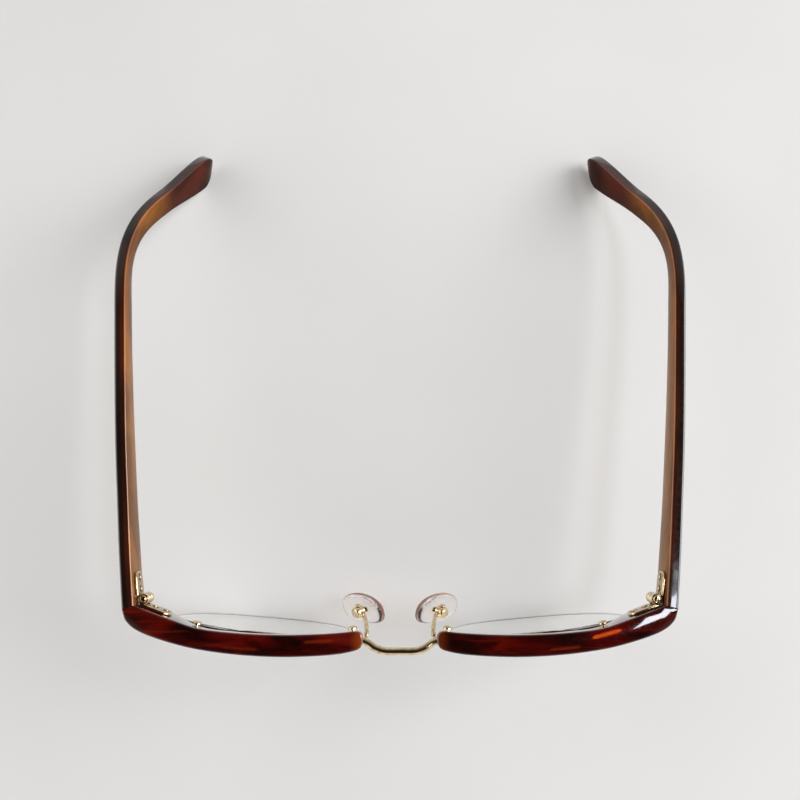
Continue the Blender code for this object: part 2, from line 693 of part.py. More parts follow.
def hinge(side_name, side, pivot):
    hinge_leaf("hinge_front_leaf_" + side_name, "front", FRONT_LEAF_LENGTH, 0.3, FRONT_RIVETS, (1, 3), side)
    hinge_leaf("hinge_temple_leaf_" + side_name, "temple", TEMPLE_LEAF_LENGTH, 0.5, TEMPLE_RIVETS,
               (0, 2, 4), side, pivot)
    for place, along in zip(("outer", "inner"), FRONT_RIVETS):
        rivet("front_rivet_%s_%s" % (place, side_name), "front", along, side)
    for place, along in zip(("front", "rear"), TEMPLE_RIVETS):
        rivet("temple_rivet_%s_%s" % (place, side_name), "temple", along, side, pivot)
    height = 5 * (KNUCKLE_HEIGHT + KNUCKLE_GAP) - KNUCKLE_GAP
    seat = (*HINGE_AXIS, HINGE_MID + height / 2)
    round_head_screw("hinge_screw_" + side_name, seat, (0.0, 0.0, 1.0), HINGE_SCREW_RADIUS, 1.1, 0.8,
                     height, side)


# ---------------------------------------------------------------------------
# Temple
# ---------------------------------------------------------------------------
def temple_frames(stations):
    """(distance, point, outward, up, tangent) along the temple's middle line."""
    total = TEMPLE_STRAIGHT + TEMPLE_BEND + TEMPLE_TIP
    steps = stations * 8
    step = total / steps
    splay, drop = TEMPLE_SPLAY[0], TEMPLE_DROP
    tangent = Vector((sin(splay) * cos(drop), cos(splay) * cos(drop), -sin(drop)))
    out = tangent.cross(Vector((0.0, 0.0, 1.0))).normalized()
    point = Vector(TEMPLE_START)
    frames = []
    for k in range(steps + 1):
        distance = k * step
        if k % 8 == 0:
            frames.append((distance, point.copy(), out.copy(), out.cross(tangent), tangent.copy()))
        turn_in = turn_down = 0.0
        if distance < TEMPLE_STRAIGHT:
            turn_in = (TEMPLE_SPLAY[0] - TEMPLE_SPLAY[1]) / TEMPLE_STRAIGHT
        elif distance < TEMPLE_STRAIGHT + TEMPLE_BEND:
            part = (distance - TEMPLE_STRAIGHT) / TEMPLE_BEND
            share = 6.0 * part * (1.0 - part) / TEMPLE_BEND
            turn_in, turn_down = TEMPLE_BEND_IN * share, TEMPLE_BEND_DOWN * share
        point = point + tangent * step
        up = out.cross(tangent)
        inwards = Matrix.Rotation(turn_in * step, 3, up)
        tangent, out = inwards @ tangent, inwards @ out
        tangent = Matrix.Rotation(-turn_down * step, 3, out) @ tangent
    return frames


def mitre(out, up):
    """How far ahead a point of the temple's front end lies, to lie flat on the end-piece's mitre."""
    corner, outer = END_PIECE_CORNER, BROW_FRONT[-1]
    slope = tan(atan2(corner[1] - outer[1], outer[0] - corner[0]) - TEMPLE_SPLAY[0])
    return -out * slope - up * tan(TEMPLE_DROP)


def temple_ring(frame, half_width, half_height, edge, offset=0.0, mitred=False, ahead=0.0, lean=0.0):
    _, point, out, up, tangent = frame
    return [point + out * (a + offset) + up * b
            + tangent * (ahead + b * lean + (mitre(a + offset, b) if mitred else 0.0))
            for a, b in bevelled_rectangle(half_width, half_height, edge)]


def temple(name, side, pivot):
    frames = temple_frames(TEMPLE_STATIONS)
    half = TEMPLE_THICKNESS / 2
    rings = [temple_ring(frame, half, smooth_at(TEMPLE_HEIGHT, frame[0]) / 2, TEMPLE_EDGE,
                         mitred=frame is frames[0]) for frame in frames[:-2]]
    height = smooth_at(TEMPLE_HEIGHT, frames[-1][0]) / 2
    for part in (0.0, 0.35, 0.65, 0.85, 1.0):
        shrink = sqrt(1.0 - part ** 2 * 0.9)
        rings.append(temple_ring(frames[-1], half * (0.55 + 0.45 * shrink), height * shrink,
                                 TEMPLE_EDGE * 0.8, ahead=(part - 1.0) * TIP_ROUND, lean=TIP_LEAN * part))
    cored = [frame for frame in frames if frame[0] < CORE_LENGTH - CORE_END]
    hole = (CORE_SECTION[0] / 2 + CORE_CLEARANCE, CORE_SECTION[1] / 2 + CORE_CLEARANCE)
    inner = [temple_ring(frame, *hole, 0.15, CORE_OFFSET, frame is frames[0]) for frame in cored]
    inner.append(temple_ring(cored[-1], *hole, 0.15, CORE_OFFSET, ahead=CORE_END))
    obj = new_object(name, *loft(inner[::-1] + rings), "temple_acetate", side=side, pivot=pivot)
    holes = [cylinder(leaf_point("temple", along, -RIVET_DEPTH - 0.06, HINGE_MID),
                      leaf_point("temple", along, 1.0, HINGE_MID), RIVET_RADIUS + 0.08, 10)
             for along in TEMPLE_RIVETS]
    boolean(obj, new_object(name + "_holes", *merged(holes), side=side, pivot=pivot))


def temple_core(name, side, pivot):
    frames = [frame for frame in temple_frames(TEMPLE_STATIONS) if frame[0] < CORE_LENGTH - CORE_END]
    half_width, half_height = CORE_SECTION[0] / 2, CORE_SECTION[1] / 2
    rings = [temple_ring(frames[0], half_width, half_height, 0.12, CORE_OFFSET, True, 0.5)]
    rings += [temple_ring(frame, half_width, half_height, 0.12, CORE_OFFSET) for frame in frames[1:]]
    rings.append(temple_ring(frames[-1], half_width, half_height, 0.12, CORE_OFFSET, ahead=CORE_END - 0.2))
    new_object(name, *loft(rings), "core_steel", side=side, pivot=pivot)


# ---------------------------------------------------------------------------
# Assembly
# ---------------------------------------------------------------------------
def centre_on_origin():
    """Moves everything so that the box round the pieces stands centred on the origin."""
    bpy.context.view_layer.update()
    corners = [obj.matrix_world @ vertex.co for obj in bpy.data.objects
               if obj.type == "MESH" and not obj.hide_render for vertex in obj.data.vertices]
    low_y = min(c.y for c in corners)
    high_y = max(c.y for c in corners)
    shift = Vector((0.0, -(low_y + high_y) / 2, -min(c.z for c in corners)))
    for obj in bpy.data.objects:
        if obj.parent is None:
            obj.location += shift


def main():
    clear_scene()
    bridge("bridge")
    for side_name, side in SIDES:
        temple_pivot = new_pivot("temple_pivot_" + side_name, (*HINGE_AXIS, HINGE_MID), side)
        pad_pivot = new_pivot("pad_pivot_" + side_name, pad_point(PAD_PIVOT_UP, PAD_PIVOT_BACK, 0.0), side)
        brow_bar("brow_bar_" + side_name, side)
        rim_bar("rim_bar_" + side_name, side)
        lens("lens_" + side_name, side)
        lens_cord("lens_cord_" + side_name, side)
        for place, spot in (("inner", INNER_SCREW), ("outer", OUTER_SCREW)):
            seat, axis = brow_screw_seat(spot)
            round_head_screw("brow_screw_%s_%s" % (place, side_name), seat, axis, SCREW_RADIUS,
                             SCREW_HEAD_RADIUS, 0.85, 2.2, side)
        pad_arm("pad_arm_" + side_name, side)
        pad_box("pad_box_" + side_name, side)
        pad_screw("pad_screw_" + side_name, side)
        nose_pad("nose_pad_" + side_name, side, pad_pivot)
        pad_insert("pad_insert_" + side_name, side, pad_pivot)
        hinge(side_name, side, temple_pivot)
        temple("temple_" + side_name, side, temple_pivot)
        temple_core("temple_core_" + side_name, side, temple_pivot)
    centre_on_origin()


main()
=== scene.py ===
"""Half rim eyeglasses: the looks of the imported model.

Each piece is drawn for the wearer's left in the part's design frame, in millimetres (x outwards,
y back from the foremost point, z up), mirrored for the right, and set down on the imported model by
its left hinge axis. The pieces repeat the part's dimensions with finer surfaces.
"""
import json
from math import acos, atan2, copysign, cos, pi, radians, sin, sqrt, tan

import bmesh
import bpy
from mathutils import Matrix, Vector

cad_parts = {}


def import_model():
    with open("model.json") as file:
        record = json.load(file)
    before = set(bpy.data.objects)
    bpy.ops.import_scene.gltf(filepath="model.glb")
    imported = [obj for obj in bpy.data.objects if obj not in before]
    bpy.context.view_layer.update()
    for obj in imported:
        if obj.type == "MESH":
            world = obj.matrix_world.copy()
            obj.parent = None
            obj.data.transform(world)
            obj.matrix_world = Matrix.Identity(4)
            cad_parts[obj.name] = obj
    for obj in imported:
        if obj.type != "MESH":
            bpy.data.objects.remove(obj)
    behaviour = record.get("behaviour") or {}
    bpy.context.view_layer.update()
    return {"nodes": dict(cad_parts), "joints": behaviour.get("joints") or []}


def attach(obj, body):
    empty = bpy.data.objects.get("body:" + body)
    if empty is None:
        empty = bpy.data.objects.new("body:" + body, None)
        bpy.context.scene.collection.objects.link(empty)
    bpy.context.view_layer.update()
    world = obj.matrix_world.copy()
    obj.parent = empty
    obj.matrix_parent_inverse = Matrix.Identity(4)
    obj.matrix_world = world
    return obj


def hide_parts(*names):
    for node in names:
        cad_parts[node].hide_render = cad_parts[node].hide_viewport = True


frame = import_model()

MM = 0.001
SIDES = {"right": -1.0, "left": 1.0}
UP = Vector((0.0, 0.0, 1.0))

# How far the bridge and temples keep inside the part's own faces.
SKIN = 0.05

# Brow bar from above (x, y), its top (x, z) and its edges.
BROW_FRONT = [(9.25, 3.2), (9.9, 1.95), (11.8, 1.15), (17.0, 0.4), (28.5, 0.0), (40.0, 0.65),
              (50.0, 2.0), (58.0, 4.0), (64.4, 6.3), (67.6, 8.8), (68.6, 11.8)]
BROW_REAR = [(9.2, 4.6), (9.6, 5.6), (11.0, 6.1), (13.5, 5.85), (19.0, 5.55), (28.5, 5.35),
             (39.5, 5.85), (49.5, 7.0), (57.3, 9.5)]
END_PIECE_CORNER = (65.5, 12.5)
BROW_TOP = [(9.0, 36.7), (22.0, 37.9), (42.0, 38.8), (58.0, 39.0), (69.0, 38.6)]
BROW_EDGE_RADIUS = 0.5
MITRE_EDGE_RADIUS = 0.2
MITRE_FADE = 2.5
BROW_CROWN = 0.18
BROW_COLUMNS = 14
CROWN_FADE = 8
REAR_DRAFT = 0.5
DRAFT_SPAN = (52.0, 57.0)
EDGE_LEVELS = 7
# Points along the rear edge, the end-piece's slanted face and the mitre.
REAR_POINTS = (90, 14, 4)
END_PIECE_BOTTOM = 28.9

# Colour in the brow bars: how dark the front face is painted, as painted shade; the amber nose end's
# strength on each side, its own amber plus painted light shining through it, and its length; and streaks on
# the top as start (x, y), end (x, y), half width and strength.
FRONT_SHADE = 0.9
NOSE_END_GLOW = {"right": 1.0, "left": 0.45}
NOSE_END_LENGTH = 3.6
STREAKS = {
    "right": [((16.0, 4.0), (24.0, 3.6), 0.5, 0.10), ((34.0, 1.9), (44.0, 2.6), 0.5, 0.06)],
    "left": [((46.6, 4.7), (54.4, 6.7), 0.52, 1.0), ((36.0, 1.9), (44.5, 2.7), 0.5, 0.11)],
}
# How fast a streak widens along its length, from its start and from its end.
STREAK_ENDS = (6.0, 12.0)

# Lens outline from the front (x, z), from the nasal top corner over the top and round.
LENS_OUTLINE = [(12.3, 28.4), (18.0, 29.6), (28.0, 30.2), (40.0, 30.4), (51.0, 29.8), (57.4, 27.9),
                (59.3, 23.4), (58.2, 16.3), (54.4, 9.0), (47.8, 3.4), (39.5, 0.6), (31.0, 0.1),
                (24.0, 1.7), (18.2, 5.2), (14.3, 10.6), (12.0, 16.8), (11.0, 23.6)]
LENS_STEPS = 9
RIM_SPANS = (0.0, 4.667)
CORD_SPANS = (5.333, 16.333)
UNDERSIDE_SPANS = 5.0
LENS_THICKNESS = 1.8
LENS_CURVE = (18.0, 18.0, 2.6, 340.0)
GROOVE_WIDTH = 0.72
GROOVE_DEPTH = 0.75
CORD_RADIUS = 0.28
CORD_INSET = 0.38

# Upper rim channel and the screws that hold the brow bar to it.
RIM_WIDTH = 2.6
RIM_SLOT = 1.9
RIM_LIP = 0.5
RIM_WEB = 0.95
RIM_GAP = 0.06
RIM_EDGE = 0.14
RIM_TRIM = 0.65
RIM_TRIM_START = 36.0
RIM_TRIM_LENGTH = 9.0
RIM_TO_BROW = 0.2
INNER_SCREW = (11.9, 32.9)
OUTER_SCREW = (51.0, 33.3)

# Screw heads as radius, height and turn of the slot, and what they share.
BROW_SCREW = (1.15, 0.85, radians(35))
PAD_SCREW = (0.8, 0.5, radians(10))
HINGE_SCREW = (0.95, 0.5, radians(25))
HEAD_GAP = 0.1
HEAD_WALL = 0.32
SHANK_DEPTH = 0.4
SHANK_PART = 0.45
SLOT_HALF_WIDTH = 0.16
SLOT_FLOOR = 0.55

# Bridge and nose pads.
BRIDGE_PATH = [(0.0, 0.8, 33.3), (3.8, 0.85, 33.3), (6.3, 1.6, 33.1), (8.2, 2.8, 32.8),
               (10.2, 3.5, 32.6)]
BRIDGE_SECTION = (2.0, 2.2)
BRIDGE_EDGE = 0.9
PAD_CENTRE = (9.8, 10.0, 18.8)
PAD_FRONTAL_ANGLE = radians(43.0)
PAD_SPLAY = radians(20.0)
PAD_HALF_LENGTH = 8.2
PAD_HALF_WIDTH = 4.2
PAD_SQUARENESS = 0.72
PAD_PROFILE = [(0.08, -1.0), (0.4, -0.97), (0.72, -0.8), (0.92, -0.45), (1.0, 0.1), (0.96, 0.65),
               (0.85, 1.0)]
PAD_RIM_START = 0.93
PAD_RECESS = (2.1, 1.0, 0.5)
PAD_PIVOT_UP = 0.8
PAD_PIVOT_BACK = 2.35
BOX_LOW = 0.9
BOX_BACK = (0.95, 1.6)
BOX_HALF = (1.6, 1.4)
BOX_ROUND = 1.3
BOX_HOLLOW = (1.2, 0.72)
BOX_MOUTH = (1.3, 0.8)
BOX_HOLLOW_EDGE = 0.3
BOX_DOME_RISE = 0.75
BOX_DOME_INSET = 0.55
ARM_RADIUS = 0.55
ARM_START = [(8.4, 4.2, 32.35), (8.45, 5.9, 31.1), (8.75, 7.3, 28.3), (9.1, 8.1, 25.4)]
ARM_ON_BOX = (3.2, -0.6)

# Hinge.
HINGE_AXIS = (63.9, 13.9)
HINGE_MID = 33.9
BARREL_RADIUS = 1.4
KNUCKLES = 5
KNUCKLE_HEIGHT = 1.0
KNUCKLE_GAP = 0.08
BARREL_HALF = (KNUCKLES * (KNUCKLE_HEIGHT + KNUCKLE_GAP) - KNUCKLE_GAP) / 2
KNUCKLE_EDGE = ((0.22, 0.0), (0.12, 0.03), (0.05, 0.09), (0.0, 0.22))
LEAF_THICKNESS = 0.7
LEAF_ROUND = 0.3
LEAF_CORNER = 1.9
LEAF_SEAT_GAP = 0.05
LEAF_NECK = 0.85
WEB_LAP = 0.6
WEB_INSET = 0.02
RIVET_HEAD_RADIUS = 0.55
RIVET_RING_RADIUS = 0.9
RIVET_SIDES = 24
RIVET_WALL = 0.12
RIVET_DOME = 0.28
LEAVES = {
    "front": {"length": 7.6, "start": 1.0, "near": 0.3, "rivets": (3.0, 6.0), "knuckles": (0, 2, 4)},
    "temple": {"length": 6.9, "start": 1.05, "near": 0.5, "rivets": (2.5, 5.4), "knuckles": (1, 3)},
}

# Temple: straight, then bent down and in over the ear.
TEMPLE_START = (67.1, 12.2, 33.9)
TEMPLE_THICKNESS = 3.2
TEMPLE_SPLAY = (radians(7.1), radians(3.5))
TEMPLE_DROP = radians(4.48)
TEMPLE_STRAIGHT = 80.5
TEMPLE_BEND = 35.5
TEMPLE_TIP = 24.0
TEMPLE_BEND_DOWN = radians(34.1)
TEMPLE_BEND_IN = radians(29.9)
TEMPLE_HEIGHT = [(0.0, 9.5), (8.0, 9.3), (30.0, 8.2), (78.0, 6.2), (93.0, 5.0), (116.0, 6.5),
                 (134.0, 9.4)]
TEMPLE_STATIONS = 104
TEMPLE_EDGE = 0.55
TIP_ROUND = 5.5
TIP_LEAN = 0.3
TIP_PARTS = (0.0, 0.2, 0.4, 0.55, 0.7, 0.8, 0.88, 0.94, 0.98)
TIP_EDGE_WIDTH = 0.25
CORE_HOLE = (0.55, 1.1)
CORE_HOLE_EDGE = 0.15
CORE_OFFSET = 0.35
CORE_LENGTH = 71.0
CORE_END = 3.0

# Where a temple's colours change, as the distance from its front end and the length of the fade.
TEMPLE_FADES = {"lower_edge": (55.0, 25.0), "bend": (45.0, 30.0), "tip": (108.0, 14.0)}
# Where the dark lower edge starts and its fade, down from the middle of a section of nominal height.
LOWER_EDGE = (2.8, 1.2)
NOMINAL_HALF_HEIGHT = 4.0

# Camera, windows and room, in metres and watts.
CAMERA_PLACE = (0.0, -0.03485, 0.263)
CAMERA_TILT = radians(7.0)
CAMERA_LENS = 40.2
CAMERA_CLIP = 0.01
FLOOR_HALF = 3
# Windows as name, place, size, power and colour, all facing one point.
WINDOWS = (("window", (1.58, 0.28, 1.2), (1.1, 1.4), 23.0, (0.97, 0.98, 1.0)),
           ("upper_window", (0.72, -0.06, 1.86), (0.33, 0.40), 5.2, (0.88, 0.92, 1.0)))
LIGHT_TARGET = (0.0, 0.0, 0.01)
# The room's light from the horizon (0) to overhead (1), and its dimming towards the near wall and
# the far wall as (start, end, strength at start, strength at end) along y.
ROOM_LIGHT = [(0.0, (2.1, 2.02, 1.95)), (0.45, (1.9, 1.83, 1.74)), (0.72, (0.50, 0.47, 0.44)),
              (0.86, (0.04, 0.035, 0.03)), (1.0, (0.012, 0.010, 0.009))]
WALL_DIMMING = ((-0.7, 0.2, 0.5, 1.5), (0.25, 0.75, 1.0, 0.15))


# Place of the design frame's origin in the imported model.
LEFT_FOLD = next(joint for joint in frame["joints"] if joint["name"] == "temple_left_fold")
ORIGIN = Vector(LEFT_FOLD["pos_m"]) - Vector((*HINGE_AXIS, HINGE_MID)) * MM


# ---- Materials ----
def set_stops(ramp, stops):
    """Puts (position, (r, g, b)) stops on a colour ramp."""
    while len(ramp.elements) < len(stops):
        ramp.elements.new(0.5)
    for element, (position, colour) in zip(ramp.elements, stops):
        element.position = position
        element.color = (*colour, 1.0)


def set_range(node, from_low, from_high, low, high):
    """Makes a Map Range node turn from_low..from_high into low..high."""
    for name, value in (("From Min", from_low), ("From Max", from_high), ("To Min", low), ("To Max", high)):
        node.inputs[name].default_value = value


class Shader:
    """A material's node tree with short calls for the nodes used here."""

    def __init__(self, name):
        self.material = bpy.data.materials.new(name)
        self.material.use_nodes = True
        self.tree = self.material.node_tree
        self.principled = self.tree.nodes["Principled BSDF"]

    def node(self, kind, **settings):
        made = self.tree.nodes.new(kind)
        for key, value in settings.items():
            setattr(made, key, value)
        return made

    def link(self, source, target):
        self.tree.links.new(source, target)

    def surface(self, **values):
        """Sets the surface's inputs to numbers or links them to sockets."""
        for name, value in values.items():
            socket = self.principled.inputs[name.replace("_", " ")]
            if isinstance(value, float):
                socket.default_value = value
            else:
                self.link(value, socket)

    def place(self, stretch=(1.0, 1.0, 1.0), shift=(0.0, 0.0, 0.0)):
        """The piece's own coordinates in millimetres, stretched along each axis."""
        coordinates = self.node("ShaderNodeTexCoord")
        mapping = self.node("ShaderNodeMapping")
        mapping.inputs["Scale"].default_value = tuple(1000.0 / s for s in stretch)
        mapping.inputs["Location"].default_value = shift
        self.link(coordinates.outputs["Object"], mapping.inputs["Vector"])
        return mapping.outputs["Vector"]

    def noise(self, size, stretch=(1.0, 1.0, 1.0), detail=3.0, distortion=0.0, shift=(0.0, 0.0, 0.0)):
        """Noise whose features are about size millimetres across."""
        made = self.node("ShaderNodeTexNoise")
        made.inputs["Scale"].default_value = 1.0 / size
        made.inputs["Detail"].default_value = detail
        made.inputs["Distortion"].default_value = distortion
        self.link(self.place(stretch, shift), made.inputs["Vector"])
        return made.outputs["Fac"]

    def ramp(self, factor, stops):
        """Colour at factor between (position, (r, g, b)) stops."""
        made = self.node("ShaderNodeValToRGB")
        set_stops(made.color_ramp, stops)
        self.link(factor, made.inputs["Fac"])
        return made.outputs["Color"]

    def tones(self, factor, deep, pale, low=0.3, high=0.7):
        """Colour from deep to pale over the factor's range from low to high."""
        return self.ramp(factor, [(low, deep), (high, pale)])

    def mix(self, factor, first, second):
        """Colour from first to second as factor goes from 0 to 1; each is a socket or an (r, g, b)."""
        made = self.node("ShaderNodeMix", data_type="RGBA")
        self.link(factor, made.inputs[0])
        for source, socket in ((first, made.inputs[6]), (second, made.inputs[7])):
            if isinstance(source, tuple):
                socket.default_value = (*source, 1.0)
            else:
                self.link(source, socket)
        return made.outputs[2]

    def ranged(self, factor, low, high, from_low=0.3, from_high=0.7):
        """The factor's range from_low..from_high, its middle if not given, mapped to low..high."""
        made = self.node("ShaderNodeMapRange")
        set_range(made, from_low, from_high, low, high)
        self.link(factor, made.inputs["Value"])
        return made.outputs["Result"]

    def attribute(self, name):
        return self.node("ShaderNodeAttribute", attribute_name=name).outputs["Fac"]

    def bump(self, height, strength, distance=0.00005):
        made = self.node("ShaderNodeBump")
        made.inputs["Strength"].default_value = strength
        made.inputs["Distance"].default_value = distance
        self.link(height, made.inputs["Height"])
        self.link(made.outputs["Normal"], self.principled.inputs["Normal"])

    def clear_to_lamps(self, tint):
        """Lets lamp light through the glass, so that a clear piece throws only a pale shadow."""
        path = self.node("ShaderNodeLightPath")
        transparent = self.node("ShaderNodeBsdfTransparent")
        transparent.inputs["Color"].default_value = (*tint, 1.0)
        mix = self.node("ShaderNodeMixShader")
        output = self.tree.nodes["Material Output"]
        self.link(path.outputs["Is Shadow Ray"], mix.inputs[0])
        self.link(self.principled.outputs["BSDF"], mix.inputs[1])
        self.link(transparent.outputs["BSDF"], mix.inputs[2])
        self.link(mix.outputs["Shader"], output.inputs["Surface"])


def brow_acetate():
    """Deep red tortoise acetate: dark clouds and fine threads, amber streaks, amber nose ends with painted
    light shining through them, and a near-black front face that is painted shade.
    """
    look = Shader("brow_acetate_look")
    clouds = look.noise(5.5, stretch=(2.0, 0.7, 1.2), detail=4.0, distortion=0.5)
    body = look.ramp(clouds, [(0.34, (0.008, 0.0002, 0.0002)), (0.47, (0.030, 0.0006, 0.0004)),
                              (0.60, (0.074, 0.0018, 0.0006)), (0.76, (0.105, 0.0036, 0.0010))])
    threads = look.noise(2.2, stretch=(8.0, 0.4, 1.0), detail=2.0, shift=(3.0, 0.0, 0.0))
    threaded = look.mix(look.ranged(threads, 0.0, 0.35, 0.60, 0.72), body, (0.165, 0.014, 0.002))
    # Painted light: the nose end turns amber where light shines through the thin acetate, more on the right
    # bar.
    ended = look.mix(look.attribute("nose_end_glow"), threaded, (0.235, 0.040, 0.006))
    grain = look.ranged(look.noise(1.1, stretch=(3.0, 0.3, 1.0)), 0.45, 1.0)
    amber = look.mix(grain, (0.20, 0.012, 0.002), (0.72, 0.085, 0.008))
    streaked = look.mix(look.ranged(look.attribute("streak"), 0.0, 1.0, 0.0, 0.45), ended, amber)
    # Painted shade: the front face is mixed to near-black.
    look.surface(Base_Color=look.mix(look.attribute("shaded_front"), streaked, (0.004, 0.0006, 0.0006)),
                 Roughness=look.ranged(look.noise(0.9), 0.05, 0.12),
                 IOR=1.5, Coat_Weight=1.0, Coat_Roughness=0.03)
    look.bump(look.noise(3.5, stretch=(2.0, 1.0, 1.0), detail=2.0), 0.03)
    return look.material


def temple_acetate():
    """Laminated acetate: near-black outside, red-brown through the middle, amber and tan inside."""
    look = Shader("temple_acetate_look")
    clouds = look.noise(6.0, stretch=(1.0, 4.0, 1.3), detail=4.0, distortion=0.3)
    outer, middle, amber, tan_inner, orange, dark = (
        look.tones(clouds, deep, pale, 0.35, 0.62) for deep, pale in (
            ((0.004, 0.002, 0.0015), (0.014, 0.004, 0.002)),
            ((0.018, 0.004, 0.002), (0.060, 0.011, 0.004)),
            ((0.180, 0.055, 0.012), (0.380, 0.125, 0.024)),
            ((0.120, 0.048, 0.012), (0.235, 0.105, 0.030)),
            ((0.120, 0.040, 0.007), (0.230, 0.085, 0.014)),
            ((0.022, 0.005, 0.003), (0.085, 0.015, 0.006))))
    inner = look.mix(look.attribute("bend"), tan_inner, orange)
    inner = look.mix(look.attribute("tip"), inner, dark)
    amber = look.mix(look.attribute("tip"), amber, dark)
    depth = look.attribute("depth")
    colour = look.mix(look.ranged(depth, 0.0, 1.0, 0.42, 0.62), outer, middle)
    colour = look.mix(look.ranged(depth, 0.0, 1.0, 0.83, 0.88), colour, amber)
    colour = look.mix(look.ranged(depth, 0.0, 1.0, 0.95, 0.99), colour, inner)
    look.surface(Base_Color=look.mix(look.attribute("lower_edge"), colour, (0.012, 0.005, 0.003)),
                 Roughness=look.ranged(look.noise(1.0), 0.08, 0.18),
                 Coat_Weight=look.ranged(depth, 1.0, 0.0, 0.90, 0.97),
                 Specular_IOR_Level=look.ranged(depth, 0.5, 0.06, 0.90, 0.97),
                 IOR=1.5, Coat_Roughness=0.04)
    look.bump(look.noise(4.0, stretch=(1.0, 3.0, 1.0), detail=2.0), 0.04)
    return look.material


def gold_metal():
    """Pale gold plate with deeper clouds and fine polishing marks; the hinge leaves' flat faces are painted
    darker, as painted shade.
    """
    look = Shader("gold_metal_look")
    clouds = look.noise(1.4, detail=4.0)
    plated = look.tones(clouds, (0.55, 0.40, 0.22), (0.80, 0.66, 0.44), high=0.62)
    marks = look.noise(0.25, stretch=(6.0, 1.0, 1.0))
    # Painted shade: the hinge leaves' flat faces get a darker gold.
    look.surface(Base_Color=look.mix(look.attribute("face"), plated, (0.36, 0.25, 0.13)),
                 Roughness=look.ranged(marks, 0.05, 0.16), Metallic=1.0)
    look.bump(marks, 0.12, 0.00002)
    return look.material


def rivet_shadow_ring():
    """Dark ring round a rivet: painted shadow round its dome."""
    look = Shader("rivet_ring_look")
    look.surface(Base_Color=look.tones(look.noise(0.3), (0.010, 0.007, 0.005), (0.06, 0.04, 0.02)),
                 Roughness=look.ranged(look.noise(0.2), 0.45, 0.75), Metallic=0.3)
    return look.material


def core_steel():
    """Rolled strip with long grain."""
    look = Shader("core_steel_look")
    marks = look.noise(0.4, stretch=(1.0, 9.0, 1.0))
    look.surface(Base_Color=look.tones(marks, (0.40, 0.33, 0.22), (0.66, 0.58, 0.42)),
                 Roughness=look.ranged(marks, 0.25, 0.42), Metallic=1.0)
    look.bump(marks, 0.2, 0.00002)
    return look.material


def lens_glass():
    """Clear, polished lens with faint smudges."""
    look = Shader("lens_look")
    smudges = look.noise(9.0, distortion=0.5)
    look.surface(Base_Color=look.tones(smudges, (0.965, 0.985, 0.980), (0.985, 0.995, 0.990)),
                 Roughness=look.ranged(smudges, 0.0, 0.02), IOR=1.5, Transmission_Weight=1.0)
    look.clear_to_lamps((0.93, 0.94, 0.94))
    return look.material


def pad_silicone():
    """Clear moulded silicone, pink-brown round the rim and where it is seen edge-on."""
    look = Shader("pad_silicone_look")
    facing = look.node("ShaderNodeLayerWeight")
    facing.inputs["Blend"].default_value = 0.32
    clouds = look.noise(2.5)
    clear = look.tones(clouds, (0.95, 0.90, 0.87), (0.98, 0.95, 0.93))
    edge = look.ranged(facing.outputs["Facing"], 0.0, 1.0, 0.55, 0.95)
    grazed = look.mix(edge, clear, (0.62, 0.42, 0.36))
    rim = look.ranged(look.attribute("rim"), 0.0, 1.0, 0.35, 0.75)
    look.surface(Base_Color=look.mix(rim, grazed, (0.42, 0.22, 0.17)),
                 Transmission_Weight=look.ranged(rim, 1.0, 0.45, 0.0, 1.0),
                 Roughness=look.ranged(clouds, 0.05, 0.14), IOR=1.41)
    look.bump(look.noise(0.8, detail=2.0), 0.08)
    look.clear_to_lamps((0.90, 0.86, 0.83))
    return look.material


def nylon():
    """Grey, slightly clear line."""
    look = Shader("nylon_look")
    clouds = look.noise(2.0, detail=2.0)
    look.surface(Base_Color=look.tones(clouds, (0.26, 0.23, 0.21), (0.38, 0.35, 0.32)),
                 Roughness=look.ranged(clouds, 0.22, 0.36), IOR=1.53, Transmission_Weight=0.3)
    look.bump(look.noise(0.5), 0.1)
    return look.material


def floor_paper():
    """Pale, even paper."""
    look = Shader("floor_look")
    clouds = look.noise(90.0, detail=2.0)
    look.surface(Base_Color=look.tones(clouds, (0.76, 0.76, 0.755), (0.80, 0.80, 0.80)),
                 Roughness=look.ranged(look.noise(1.2), 0.55, 0.7))
    look.bump(look.noise(0.6), 0.05)
    return look.material


# ---- Building helpers ----
def in_scene(name, data):
    """A new object for the data, in the scene."""
    made = bpy.data.objects.new(name, data)
    bpy.context.scene.collection.objects.link(made)
    return made


def closed_mesh(name, verts, faces, side, attributes=None):
    """A mesh with outward faces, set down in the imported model's frame.

    faces are vertex number tuples; attributes maps a name to one number for each vertex."""
    mesh = bpy.data.meshes.new(name)
    mesh.from_pydata([Vector((v[0] * SIDES[side], v[1], v[2])) * MM + ORIGIN for v in verts], [], faces)
    for key, values in (attributes or {}).items():
        mesh.attributes.new(key, "FLOAT", "POINT").data.foreach_set("value", values)
    bm = bmesh.new()
    bm.from_mesh(mesh)
    bmesh.ops.recalc_face_normals(bm, faces=bm.faces)
    bm.to_mesh(mesh)
    bm.free()
    return mesh


def shade(mesh, sharp=35.0):
    """Smooth shading, except across edges sharper than the angle in degrees."""
    mesh.shade_smooth()
    mesh.set_sharp_from_angle(angle=radians(sharp))


def new_piece(name, verts, faces, material, body, node, slot, side="left", attributes=None, sharp=35.0):
    """A piece on its side of the part that rides on a body and stands for a CAD node."""
    mesh = closed_mesh(name, verts, faces, side, attributes)
    shade(mesh, sharp)
    mesh.materials.append(material)
    piece = in_scene(name, mesh)
    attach(piece, body)
    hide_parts(node)
    return piece


